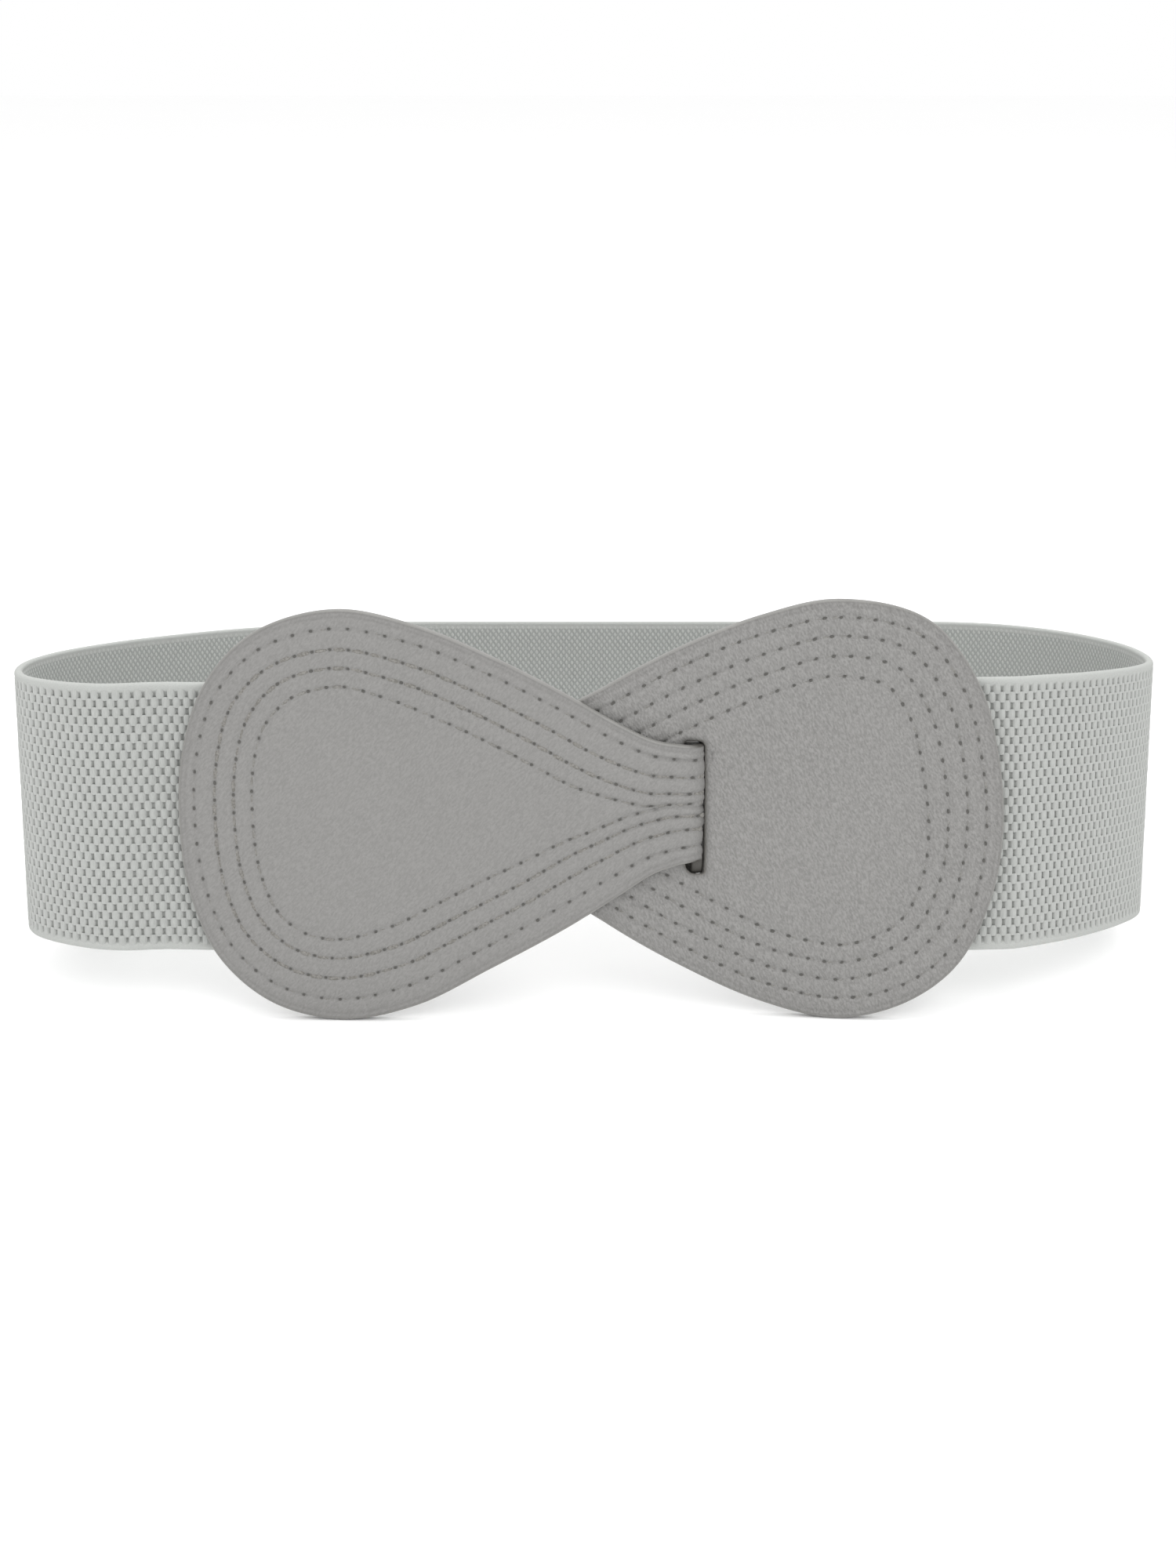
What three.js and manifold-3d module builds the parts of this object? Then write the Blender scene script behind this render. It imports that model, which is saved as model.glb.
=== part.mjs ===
// Elastic waist belt, fastened, standing on its lower edge. Millimetres, +Z up.
// A 60 mm elastic band carries a leather paddle at each end. The left paddle narrows to a
// tongue that passes over the right paddle's bar, turns back through its slot and runs
// behind to a press stud. The belt is drawn upright, with Z = 0 at the band's mid-height,
// X to the wearer's left and Y from front to back, and is then leaned back until it rests
// on both paddles and on the rear of the band.
import * as THREE from 'three';
import { mergeVertices } from 'three/addons/utils/BufferGeometryUtils.js';
import Module from 'manifold-3d';

// Driving dimensions
const BAND_HEIGHT = 60;
const BAND_THICKNESS = 2;
const LEATHER = 2.6;
const GAP = 0.3;
const BAND_LAP_LEFT = -64;
const BAND_LAP_RIGHT = 66;
const LAP_STEPS = 6;
const LAP_MARGIN = 2;
const BAND_STEPS = 6;

// The left paddle is flat as far as the press stud, and bows back by this much over its outer part
const LEFT_BOW = 2;
const LEFT_BOW_START = -34;
const LEFT_BOW_SPAN = 54;
// The right paddle bows back from its slot and twists, its upper edge further back
const RIGHT_BOW = 2.6;
const RIGHT_BOW_START = 26;
const RIGHT_TWIST = 0.12;
const RIGHT_BOW_SPAN = 62;

// Slot in the right paddle and the tongue that turns through it, whose tail is wider than the fold
const SLOT = { left: 20.6, right: 25.3, bottom: -11.9, top: 17.6, corner: 1 };
const TONGUE_TOP = 17;
const TONGUE_BOTTOM = -9.2;
const TAIL_BOTTOM = -11.6;
const TONGUE_TAIL = 58;
const BEND_RADIUS = LEATHER + GAP;
const BEND_LENGTH = Math.PI * BEND_RADIUS;

// Press stud that holds the tongue's tail
const STUD = { x: -24, z: (TONGUE_TOP + TAIL_BOTTOM) / 2, disc: 6, post: 2, cap: 5.5, dome: 1.5 };
const STUD_SIDES = 28;
const STUD_EASE = 0.3;
const DOME_STEPS = 4;

// Steps along the outlines
const PADDLE_STEPS = 44;
const BEND_STEPS = 12;
const TAIL_STEPS = 3;
const TAIL_END_STEPS = 8;

// Edge sections: inset from the outline, and depth outwards from the sheet's own level
const LEATHER_EDGE = [
  { inset: 1.0, depth: LEATHER / 2 },
  { inset: 0.3, depth: LEATHER / 2 - 0.3 },
  { inset: 0.0, depth: 0.4 },
  { inset: 0.0, depth: -0.4 },
  { inset: 0.3, depth: 0.3 - LEATHER / 2 },
  { inset: 1.0, depth: -LEATHER / 2 },
];
const BAND_EDGE = [
  { inset: 0.5, depth: 0 },
  { inset: 0.0, depth: -0.5 },
  { inset: 0.0, depth: 0.5 - BAND_THICKNESS },
  { inset: 0.5, depth: -BAND_THICKNESS },
];

// Outer face of the band seen from above, from the left paddle round the back to the right.
// Heading is in degrees from +X, and lean is how far the face goes back for each mm of height.
const BAND_PLAN = [
  { x: -104, y: -0.7, heading: 177, lean: -0.025 },
  { x: -113.5, y: 2.0, heading: 152, lean: -0.035 },
  { x: -122, y: 7.8, heading: 138, lean: -0.03 },
  { x: -127.4, y: 15.6, heading: 112, lean: -0.015 },
  { x: -129.8, y: 28, heading: 92, lean: 0 },
  { x: -127, y: 44, heading: 71, lean: 0 },
  { x: -116.8, y: 62, heading: 54, lean: 0 },
  { x: -100.3, y: 79, heading: 42, lean: 0 },
  { x: -74, y: 95, heading: 23, lean: 0 },
  { x: -42, y: 101, heading: 0, lean: 0 },
  { x: 84, y: 101, heading: 0, lean: 0 },
  { x: 103.5, y: 97.4, heading: -25, lean: 0 },
  { x: 117, y: 86.6, heading: -50, lean: 0 },
  { x: 126.6, y: 70.5, heading: -68, lean: 0 },
  { x: 131.5, y: 49, heading: -88, lean: 0 },
  { x: 130, y: 32, heading: -106, lean: 0 },
  { x: 123.3, y: 22, heading: -135, lean: 0.01 },
  { x: 111.5, y: 12.9, heading: -147, lean: 0.06 },
  { x: 101.5, y: 7.9, heading: -156, lean: 0.105 },
];

// Paddle outlines as points of a smooth curve. The left one runs from the slot's edge over the
// top, round the outer end and back along the bottom. The right one is closed.
const LEFT_OUTLINE = [
  { x: SLOT.left, z: TONGUE_TOP },
  { x: 14.5, z: 18 },
  { x: 6, z: 22 },
  { x: -5, z: 28.3 },
  { x: -21, z: 36.5 },
  { x: -37, z: 43.1 },
  { x: -54, z: 46 },
  { x: -71.5, z: 41.4 },
  { x: -82.4, z: 30.2 },
  { x: -87.8, z: 15 },
  { x: -88.9, z: -2 },
  { x: -87, z: -17 },
  { x: -81, z: -31 },
  { x: -69.5, z: -41 },
  { x: -54, z: -44.6 },
  { x: -37.5, z: -41.2 },
  { x: -21.5, z: -33 },
  { x: -5.5, z: -24.2 },
  { x: 6.5, z: -16.6 },
  { x: 14.5, z: -11.4 },
  { x: SLOT.left, z: TONGUE_BOTTOM },
];
const RIGHT_OUTLINE = [
  { x: 91.1, z: -3 },
  { x: 89.8, z: 13.5 },
  { x: 84.4, z: 28.7 },
  { x: 73.3, z: 42.2 },
  { x: 54, z: 47.5 },
  { x: 37, z: 44.5 },
  { x: 20, z: 38.1 },
  { x: 4, z: 29.6 },
  { x: -9, z: 21.2 },
  { x: -15, z: 4 },
  { x: -9, z: -13.6 },
  { x: 4, z: -23.4 },
  { x: 20, z: -32.8 },
  { x: 38, z: -41 },
  { x: 55, z: -44.5 },
  { x: 70, z: -40.8 },
  { x: 81.5, z: -32.2 },
  { x: 88.6, z: -18 },
];
const LEFT_END = -88.9;
const RIGHT_END = 91.1;
const OUTLINE_SAMPLES = 900;

// Search for the angle at which the belt rests
const STEEPEST_LEAN = Math.PI / 8;
const LEAN_HALVINGS = 40;

const wasm = await Module();
wasm.setup();

const LEATHER_FINISH = { color: 0x9e9d9b, roughness: 0.55, metalness: 0 };
const ELASTIC_FINISH = { color: 0xb0b2af, roughness: 0.9, metalness: 0 };
const STUD_FINISH = { color: 0x8f8f8d, roughness: 0.35, metalness: 0.9 };

function smoothstep(t) {
  const u = Math.min(Math.max(t, 0), 1);
  return u * u * (3 - 2 * u);
}

// Place and heading of the left paddle's middle layer at a length s along it. It lies in
// front of the bar, turns round the bar's end at the slot and runs back behind it.
function leftSheet(s) {
  if (s <= SLOT.left) {
    const reach = Math.min(s - LEFT_BOW_START, 0) / LEFT_BOW_SPAN;
    const slope = 2 * LEFT_BOW * reach / LEFT_BOW_SPAN;
    return sheetPoint(s, LEFT_BOW * reach * reach - BEND_RADIUS, Math.atan(slope), 0);
  }
  if (s < SLOT.left + BEND_LENGTH) {
    const turn = (s - SLOT.left) / BEND_RADIUS;
    const x = SLOT.left + BEND_RADIUS * Math.sin(turn);
    return sheetPoint(x, -BEND_RADIUS * Math.cos(turn), turn, 0);
  }
  return sheetPoint(2 * SLOT.left + BEND_LENGTH - s, BEND_RADIUS, Math.PI, 0);
}

// The same for the right paddle, whose length runs along X
function rightSheet(s) {
  const reach = Math.max(s - RIGHT_BOW_START, 0) / RIGHT_BOW_SPAN;
  const slope = 2 * RIGHT_BOW * reach / RIGHT_BOW_SPAN;
  return sheetPoint(s, RIGHT_BOW * reach * reach, Math.atan(slope), RIGHT_TWIST * smoothstep(reach));
}

// Outward is to the right of the heading, which is towards the viewer at the front
function sheetPoint(x, y, heading, lean) {
  return { x, y, outX: Math.sin(heading), outY: -Math.cos(heading), lean };
}

function placed(station, z, depth) {
  return [
    station.x + station.outX * depth,
    station.y + station.outY * depth + station.lean * z,
    z,
  ];
}

// Station of the band's outer face where it lies behind a paddle
function lapStation(sheet, x) {
  const station = sheet(x);
  const drop = LEATHER / 2 + GAP;
  return { ...station, x: station.x - station.outX * drop, y: station.y - station.outY * drop };
}

function lapStations(sheet, from, to) {
  const stations = [];
  for (let i = 0; i <= LAP_STEPS; i += 1) {
    stations.push(lapStation(sheet, THREE.MathUtils.lerp(from, to, i / LAP_STEPS)));
  }
  return stations;
}

// A plan row for the end of a lap, so that the free band runs on from it smoothly
function lapRow(sheet, x, facing) {
  const station = lapStation(sheet, x);
  const heading = THREE.MathUtils.radToDeg(Math.atan2(station.outX, -station.outY)) + facing;
  return { x: station.x, y: station.y, heading, lean: station.lean };
}

// Cubic between two plan rows, leaving and arriving along their headings
function planPoint(a, b, t) {
  const chord = Math.hypot(b.x - a.x, b.y - a.y);
  const from = THREE.MathUtils.degToRad(a.heading);
  const to = THREE.MathUtils.degToRad(b.heading);
  const h1 = t * t * (3 - 2 * t);
  const g0 = chord * t * (1 - t) * (1 - t);
  const g1 = chord * t * t * (t - 1);
  return {
    x: a.x + (b.x - a.x) * h1 + Math.cos(from) * g0 + Math.cos(to) * g1,
    y: a.y + (b.y - a.y) * h1 + Math.sin(from) * g0 + Math.sin(to) * g1,
    lean: THREE.MathUtils.lerp(a.lean, b.lean, t),
  };
}

function freeBandPoints() {
  const rows = [
    lapRow(leftSheet, LEFT_END - LAP_MARGIN, 180),
    ...BAND_PLAN,
    lapRow(rightSheet, RIGHT_END + LAP_MARGIN, -180),
  ];
  const points = [];
  for (let i = 0; i + 1 < rows.length; i += 1) {
    const steps = rows[i].heading === rows[i + 1].heading ? 1 : BAND_STEPS;
    for (let k = 0; k < steps; k += 1) {
      points.push(planPoint(rows[i], rows[i + 1], k / steps));
    }
  }
  points.push(rows[rows.length - 1]);
  return points;
}

// Outward direction at each free point, square to its neighbours
function facingOut(points) {
  return points.map((point, i) => {
    const before = points[Math.max(i - 1, 0)];
    const after = points[Math.min(i + 1, points.length - 1)];
    const heading = Math.atan2(after.y - before.y, after.x - before.x);
    return { ...point, outX: -Math.sin(heading), outY: Math.cos(heading) };
  });
}

// Many points along the smooth curve through an outline's rows
function outlineSamples(rows, closed) {
  const corners = rows.map((row) => new THREE.Vector3(row.x, row.z, 0));
  return new THREE.CatmullRomCurve3(corners, closed).getPoints(OUTLINE_SAMPLES);
}

// Upper and lower heights of an outline at one length along it
function heightsAt(samples, s) {
  let [top, bottom] = [-Infinity, Infinity];
  for (let i = 0; i + 1 < samples.length; i += 1) {
    const [a, b] = [samples[i], samples[i + 1]];
    if ((a.x - s) * (b.x - s) <= 0 && a.x !== b.x) {
      const z = THREE.MathUtils.mapLinear(s, a.x, b.x, a.y, b.y);
      top = Math.max(top, z);
      bottom = Math.min(bottom, z);
    }
  }
  return { top, bottom };
}

// Upper and lower chains of an outline, at lengths that crowd towards its rounded ends
function chainsOf(samples, sweep) {
  const xs = samples.map((point) => point.x);
  const [low, high] = [Math.min(...xs), Math.max(...xs)];
  const upper = [];
  const lower = [];
  for (let i = 0; i <= PADDLE_STEPS; i += 1) {
    const along = (1 - Math.cos(sweep * i / PADDLE_STEPS)) / (1 - Math.cos(sweep));
    const s = THREE.MathUtils.lerp(low, high, along);
    const { top, bottom } = heightsAt(samples, s);
    upper.push({ s, z: top });
    lower.push({ s, z: bottom });
  }
  return { upper, lower };
}

// Rest of the tongue past the slot's edge, for its upper or lower side
function tongueChain(foldZ, tailZ) {
  const middle = (TONGUE_TOP + TAIL_BOTTOM) / 2;
  const radius = Math.abs(tailZ - middle);
  const bendEnd = SLOT.left + BEND_LENGTH;
  const tailEnd = bendEnd + TONGUE_TAIL;
  const chain = [];
  for (let i = 1; i <= BEND_STEPS; i += 1) {
    const share = i / BEND_STEPS;
    const z = THREE.MathUtils.lerp(foldZ, tailZ, smoothstep(share));
    chain.push({ s: SLOT.left + BEND_LENGTH * share, z });
  }
  for (let i = 1; i <= TAIL_STEPS; i += 1) {
    chain.push({ s: THREE.MathUtils.lerp(bendEnd, tailEnd - radius, i / TAIL_STEPS), z: tailZ });
  }
  for (let i = 1; i <= TAIL_END_STEPS; i += 1) {
    const angle = 0.5 * Math.PI * i / TAIL_END_STEPS;
    chain.push({
      s: tailEnd - radius + radius * Math.sin(angle),
      z: middle + (tailZ - middle) * Math.cos(angle),
    });
  }
  return chain;
}

// Closed outline: out along the upper chain and back along the lower one, which share their tips
function outlineOf(upper, lower) {
  return [...upper, ...lower.slice(1, -1).reverse()];
}

// Outline drawn in by a distance, square to its neighbours
function insetOutline(outline, inset) {
  const count = outline.length;
  return outline.map((point, i) => {
    const before = outline[(i + count - 1) % count];
    const after = outline[(i + 1) % count];
    const ds = after.s - before.s;
    const dz = after.z - before.z;
    const length = Math.hypot(ds, dz);
    return { s: point.s + inset * dz / length, z: point.z - inset * ds / length };
  });
}

// Sheet of leather with rounded edges, laid along the given surface
function leatherGeometry(upper, lower, sheet) {
  const outline = outlineOf(upper, lower);
  const turn = outlineTurn(outline);
  const rings = LEATHER_EDGE.map((edge) => insetOutline(outline, edge.inset * turn)
    .map((point) => placed(sheet(point.s), point.z, edge.depth)));
  const last = upper.length - 1;
  const lowerIndex = (i) => (i === 0 || i === last ? i : outline.length - i);
  return ringGeometry(rings, last, (i) => i, lowerIndex);
}

// +1 where the outline runs clockwise seen from the front, so that an inset goes inwards
function outlineTurn(outline) {
  let area = 0;
  outline.forEach((point, i) => {
    const next = outline[(i + 1) % outline.length];
    area += point.s * next.z - next.s * point.z;
  });
  return area < 0 ? 1 : -1;
}

// Band of constant height through its stations, with eased edges and square ends
function bandGeometry(stations) {
  const half = BAND_HEIGHT / 2;
  const rings = BAND_EDGE.map((edge) => {
    const upper = stations.map((station) => placed(station, half - edge.inset, edge.depth));
    const lower = stations.map((station) => placed(station, edge.inset - half, edge.depth));
    return [...upper, ...lower.reverse()];
  });
  const last = stations.length - 1;
  return ringGeometry(rings, last, (i) => i, (i) => 2 * last + 1 - i);
}

// Closed mesh from rings of equal length, capped by strips between the two chains
function ringGeometry(rings, last, upperIndex, lowerIndex) {
  const size = rings[0].length;
  const faces = [];
  for (let r = 0; r + 1 < rings.length; r += 1) {
    for (let i = 0; i < size; i += 1) {
      const next = (i + 1) % size;
      pushQuad(faces, r * size + i, r * size + next, (r + 1) * size + next, (r + 1) * size + i);
    }
  }
  const far = (rings.length - 1) * size;
  for (let i = 0; i < last; i += 1) {
    const [a, b, c, d] = [upperIndex(i), upperIndex(i + 1), lowerIndex(i + 1), lowerIndex(i)];
    pushQuad(faces, a, d, c, b);
    pushQuad(faces, far + a, far + b, far + c, far + d);
  }
  return facingOutwards(new Float32Array(rings.flat(2)), faces);
}

function pushQuad(faces, a, b, c, d) {
  pushTriangle(faces, a, b, c);
  pushTriangle(faces, a, c, d);
}

function pushTriangle(faces, a, b, c) {
  if (a !== b && b !== c && c !== a) {
    faces.push(a, b, c);
  }
}

// Indexed geometry with its faces turned outwards, whichever way they were listed
function facingOutwards(positions, faces) {
  const geometry = new THREE.BufferGeometry();
  geometry.setAttribute('position', new THREE.BufferAttribute(positions, 3));
  geometry.setIndex(faces);
  if (signedVolume(geometry) < 0) {
    const turned = [];
    for (let i = 0; i < faces.length; i += 3) {
      turned.push(faces[i], faces[i + 2], faces[i + 1]);
    }
    geometry.setIndex(turned);
  }
  return geometry;
}

function signedVolume(geometry) {
  const position = geometry.getAttribute('position');
  const index = geometry.getIndex();
  const [a, b, c] = [new THREE.Vector3(), new THREE.Vector3(), new THREE.Vector3()];
  let volume = 0;
  for (let i = 0; i < index.count; i += 3) {
    a.fromBufferAttribute(position, index.getX(i));
    b.fromBufferAttribute(position, index.getX(i + 1));
    c.fromBufferAttribute(position, index.getX(i + 2));
    volume += a.dot(b.cross(c)) / 6;
  }
  return volume;
}

// Position-only copy of a library geometry, with merged vertices and no empty triangles
function closedGeometry(source) {
  const geometry = source.clone();
  geometry.deleteAttribute('normal');
  geometry.deleteAttribute('uv');
  const merged = mergeVertices(geometry, 1e-4);
  const index = merged.getIndex();
  const faces = [];
  for (let i = 0; i < index.count; i += 3) {
    pushTriangle(faces, index.getX(i), index.getX(i + 1), index.getX(i + 2));
  }
  return facingOutwards(merged.getAttribute('position').array, faces);
}

function solidOf(geometry) {
  const vertProperties = new Float32Array(geometry.getAttribute('position').array);
  const triVerts = new Uint32Array(geometry.getIndex().array);
  return new wasm.Manifold(new wasm.Mesh({ numProp: 3, vertProperties, triVerts }));
}

function geometryOf(solid) {
  const mesh = solid.getMesh();
  const geometry = new THREE.BufferGeometry();
  geometry.setAttribute('position', new THREE.BufferAttribute(mesh.vertProperties, 3));
  geometry.setIndex(new THREE.BufferAttribute(mesh.triVerts, 1));
  return geometry;
}

// Upright rectangle with rounded corners, run through the leather from front to back
function slotCutter() {
  const { left, right, bottom, top, corner } = SLOT;
  const shape = new THREE.Shape();
  shape.moveTo(left + corner, bottom);
  shape.lineTo(right - corner, bottom);
  shape.absarc(right - corner, bottom + corner, corner, -Math.PI / 2, 0);
  shape.lineTo(right, top - corner);
  shape.absarc(right - corner, top - corner, corner, 0, Math.PI / 2);
  shape.lineTo(left + corner, top);
  shape.absarc(left + corner, top - corner, corner, Math.PI / 2, Math.PI);
  shape.lineTo(left, bottom + corner);
  shape.absarc(left + corner, bottom + corner, corner, Math.PI, 1.5 * Math.PI);
  const cutter = new THREE.ExtrudeGeometry(shape, { depth: 2 * LEATHER, bevelEnabled: false, curveSegments: 4 });
  cutter.rotateX(Math.PI / 2);
  cutter.translate(0, LEATHER, 0);
  return closedGeometry(cutter);
}

// Hole in the tongue's tail for the stud's post
function studHoleCutter() {
  const radius = STUD.post + GAP;
  const profile = [
    new THREE.Vector2(0, 0),
    new THREE.Vector2(radius, 0),
    new THREE.Vector2(radius, 2 * LEATHER),
    new THREE.Vector2(0, 2 * LEATHER),
  ];
  const cutter = new THREE.LatheGeometry(profile, STUD_SIDES);
  cutter.translate(STUD.x, BEND_RADIUS - LEATHER, STUD.z);
  return closedGeometry(cutter);
}

function elasticBand() {
  const stations = [
    ...lapStations(leftSheet, BAND_LAP_LEFT, LEFT_END),
    ...facingOut(freeBandPoints()),
    ...lapStations(rightSheet, RIGHT_END, BAND_LAP_RIGHT),
  ];
  return namedMesh('elastic_band', bandGeometry(stations), ELASTIC_FINISH);
}

function tonguePaddle() {
  const paddle = chainsOf(outlineSamples(LEFT_OUTLINE, false), Math.PI / 2);
  const upper = [...paddle.upper, ...tongueChain(TONGUE_TOP, TONGUE_TOP)];
  const lower = [...paddle.lower, ...tongueChain(TONGUE_BOTTOM, TAIL_BOTTOM)];
  const sheet = solidOf(leatherGeometry(upper, lower, leftSheet));
  const holed = sheet.subtract(solidOf(studHoleCutter()));
  return namedMesh('tongue_paddle', geometryOf(holed), LEATHER_FINISH);
}

function slottedPaddle() {
  const { upper, lower } = chainsOf(outlineSamples(RIGHT_OUTLINE, true), Math.PI);
  const sheet = solidOf(leatherGeometry(upper, lower, rightSheet));
  const slotted = sheet.subtract(solidOf(slotCutter()));
  return namedMesh('slotted_paddle', geometryOf(slotted), LEATHER_FINISH);
}

// Disc between the paddle's back and the tail, a post through the tail, and a domed cap behind
function pressStud() {
  const seat = BEND_RADIUS - LEATHER / 2 - GAP;
  const cap = BEND_RADIUS + LEATHER / 2 + GAP;
  const profile = [
    new THREE.Vector2(0, -seat),
    new THREE.Vector2(STUD.disc - STUD_EASE, -seat),
    new THREE.Vector2(STUD.disc, STUD_EASE - seat),
    new THREE.Vector2(STUD.disc, seat - STUD_EASE),
    new THREE.Vector2(STUD.disc - STUD_EASE, seat),
    new THREE.Vector2(STUD.post, seat),
    new THREE.Vector2(STUD.post, cap),
    new THREE.Vector2(STUD.cap - STUD_EASE, cap),
  ];
  for (let i = 0; i < DOME_STEPS; i += 1) {
    const rise = 0.5 * Math.PI * i / DOME_STEPS;
    profile.push(new THREE.Vector2(STUD.cap * Math.cos(rise), cap + STUD_EASE + STUD.dome * Math.sin(rise)));
  }
  profile.push(new THREE.Vector2(0, cap + STUD_EASE + STUD.dome));
  const geometry = closedGeometry(new THREE.LatheGeometry(profile, STUD_SIDES));
  geometry.translate(STUD.x, 0, STUD.z);
  return namedMesh('press_stud', geometry, STUD_FINISH);
}

function namedMesh(name, geometry, finish) {
  const mesh = new THREE.Mesh(geometry, new THREE.MeshStandardMaterial(finish));
  mesh.name = name;
  return mesh;
}

// Height of a mesh's lowest point once the belt is leaned back by an angle
function lowest(mesh, angle) {
  const position = mesh.geometry.getAttribute('position');
  let low = Infinity;
  for (let i = 0; i < position.count; i += 1) {
    low = Math.min(low, position.getZ(i) * Math.cos(angle) - position.getY(i) * Math.sin(angle));
  }
  return low;
}

// Lean at which the band's rear edge comes down to the lowest point of the paddles
function restingLean(band, paddles) {
  let [less, more] = [0, STEEPEST_LEAN];
  for (let i = 0; i < LEAN_HALVINGS; i += 1) {
    const middle = (less + more) / 2;
    const front = Math.min(...paddles.map((paddle) => lowest(paddle, middle)));
    if (lowest(band, middle) > front) {
      less = middle;
    } else {
      more = middle;
    }
  }
  return less;
}

// The belt leaned back on its rear edge, with the origin under the middle of its box
function restingBelt() {
  const band = elasticBand();
  const paddles = [tonguePaddle(), slottedPaddle()];
  const belt = new THREE.Group();
  belt.add(band, ...paddles, pressStud());
  belt.rotation.x = -restingLean(band, paddles);
  belt.updateMatrixWorld(true);
  const box = new THREE.Box3().setFromObject(belt, true);
  const middle = box.getCenter(new THREE.Vector3());
  belt.position.set(-middle.x, -middle.y, -box.min.z);
  return belt;
}

const root = new THREE.Group();
root.add(restingBelt());

export default root;
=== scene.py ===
"""Fastened elastic waist belt: stitched leather paddles, a woven elastic band and a press stud.

Shapes are drawn with the belt upright, in millimetres: X to the wearer's left, Y from front
to back, Z up from the band's mid-height. They are then leaned back to where the model rests.
A paddle is laid out flat first: s runs along it, z is height, and depth is out of its face.
"""
import math
from collections import namedtuple

import bpy
import numpy as np
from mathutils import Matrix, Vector
from mathutils.geometry import delaunay_2d_cdt
from mathutils.kdtree import KDTree


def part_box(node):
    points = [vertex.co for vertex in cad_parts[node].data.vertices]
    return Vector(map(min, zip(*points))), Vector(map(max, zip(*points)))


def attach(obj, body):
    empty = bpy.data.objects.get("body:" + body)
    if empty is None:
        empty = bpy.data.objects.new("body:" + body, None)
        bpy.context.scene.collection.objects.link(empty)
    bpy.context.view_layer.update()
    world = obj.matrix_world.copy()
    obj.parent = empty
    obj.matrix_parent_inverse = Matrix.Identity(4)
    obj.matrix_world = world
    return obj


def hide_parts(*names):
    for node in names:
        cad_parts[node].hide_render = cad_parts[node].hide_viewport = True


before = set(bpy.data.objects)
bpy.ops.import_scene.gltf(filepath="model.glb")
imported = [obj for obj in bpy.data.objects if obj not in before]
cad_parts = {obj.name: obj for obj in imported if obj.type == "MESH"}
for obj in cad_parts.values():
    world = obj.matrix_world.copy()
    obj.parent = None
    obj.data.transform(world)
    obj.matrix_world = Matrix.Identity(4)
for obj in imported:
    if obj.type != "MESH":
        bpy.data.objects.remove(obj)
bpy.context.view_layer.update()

MM = 0.001

# Driving dimensions, as the solids have them
BAND_HEIGHT = 60
BAND_THICKNESS = 2
LEATHER = 2.6
GAP = 0.3
BAND_LAP_LEFT = -64
BAND_LAP_RIGHT = 66
LEFT_END = -88.9
RIGHT_END = 91.1
LAP_MARGIN = 2
BAND_STEPS = 6
BAND_CHAMFER = 0.5
LEFT_BOW = 2
LEFT_BOW_START = -34
LEFT_BOW_SPAN = 54
RIGHT_BOW = 2.6
RIGHT_BOW_START = 26
RIGHT_TWIST = 0.12
RIGHT_BOW_SPAN = 62
SLOT_LEFT = 20.6
SLOT_RIGHT = 25.3
SLOT_BOTTOM = -11.9
SLOT_TOP = 17.6
TONGUE_TOP = 17
TONGUE_BOTTOM = -9.2
TAIL_BOTTOM = -11.6
TONGUE_TAIL = 58
TONGUE_MIDDLE = (TONGUE_TOP + TONGUE_BOTTOM) / 2
TAIL_MIDDLE = (TONGUE_TOP + TAIL_BOTTOM) / 2
TAIL_HALF = (TONGUE_TOP - TAIL_BOTTOM) / 2
BEND_RADIUS = LEATHER + GAP
BEND_LENGTH = math.pi * BEND_RADIUS
BEND_END = SLOT_LEFT + BEND_LENGTH
TAIL_CENTRE = BEND_END + TONGUE_TAIL - TAIL_HALF
TIP_STEPS = 30
STUD_X = -24
STUD_HOLE = 2.3
STUD_S = BEND_END + SLOT_LEFT - STUD_X

# How far the fold bulges out, as (height, bulge)
FOLD_BULGE = ((-9.2, 0.35), (-6.8, 0.3), (-2.2, 0.42), (2.4, 0.6), (7, 0.58), (13, 0.45), (17, 0.42))
# Upper and lower side of the fold, as (share of the bend, height)
FOLD_UPPER = ((0, 17), (0.2, 16.85), (0.4, 16.75), (0.6, 16.9), (0.75, 17), (1, 17))
FOLD_LOWER = (
    (0, -9.2), (0.2, -9.0), (0.36, -8.5), (0.48, -11.2), (0.56, -12.8), (0.66, -12.5), (0.8, -12.1),
    (1, -11.6),
)
# Where the lower side drops to the tail's
DROP_TOP = -8.2
DROP_EASE = 0.8
# Radii of the slot's corners: upper right, upper left, lower left and lower right
SLOT_CORNERS = (1.4, 1, 2.2, 0.9)
SLOT_STEPS = 8
STUD_HOLE_SIDES = 28
# How far the slot's right side stands out, as (height, front, rear)
SLOT_SIDE = (
    (-12, 0.4, -0.25), (-9, 0.38, -0.24), (-4, 0.3, -0.16), (0, 0.26, -0.04), (3, 0.26, 0.02),
    (7, 0.24, 0.02), (12, 0.18, -0.08), (18, 0.16, -0.12),
)
# Shifts of its foot, of its foot and head at the rear, and the power by which they fade
SLOT_DOWN = 0.3
SLOT_FOOT_IN = 0.7
SLOT_REAR_DOWN = 0.4
SLOT_HEAD_DOWN = 0.6
SLOT_FADE = 4
# Ribs of the leather stay this far off the slot and the stud hole
SLOT_ROOM = 1.5
STUD_ROOM = 0.9

# How far the belt leans back as it rests
LEAN = math.radians(8.0886)

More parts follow.
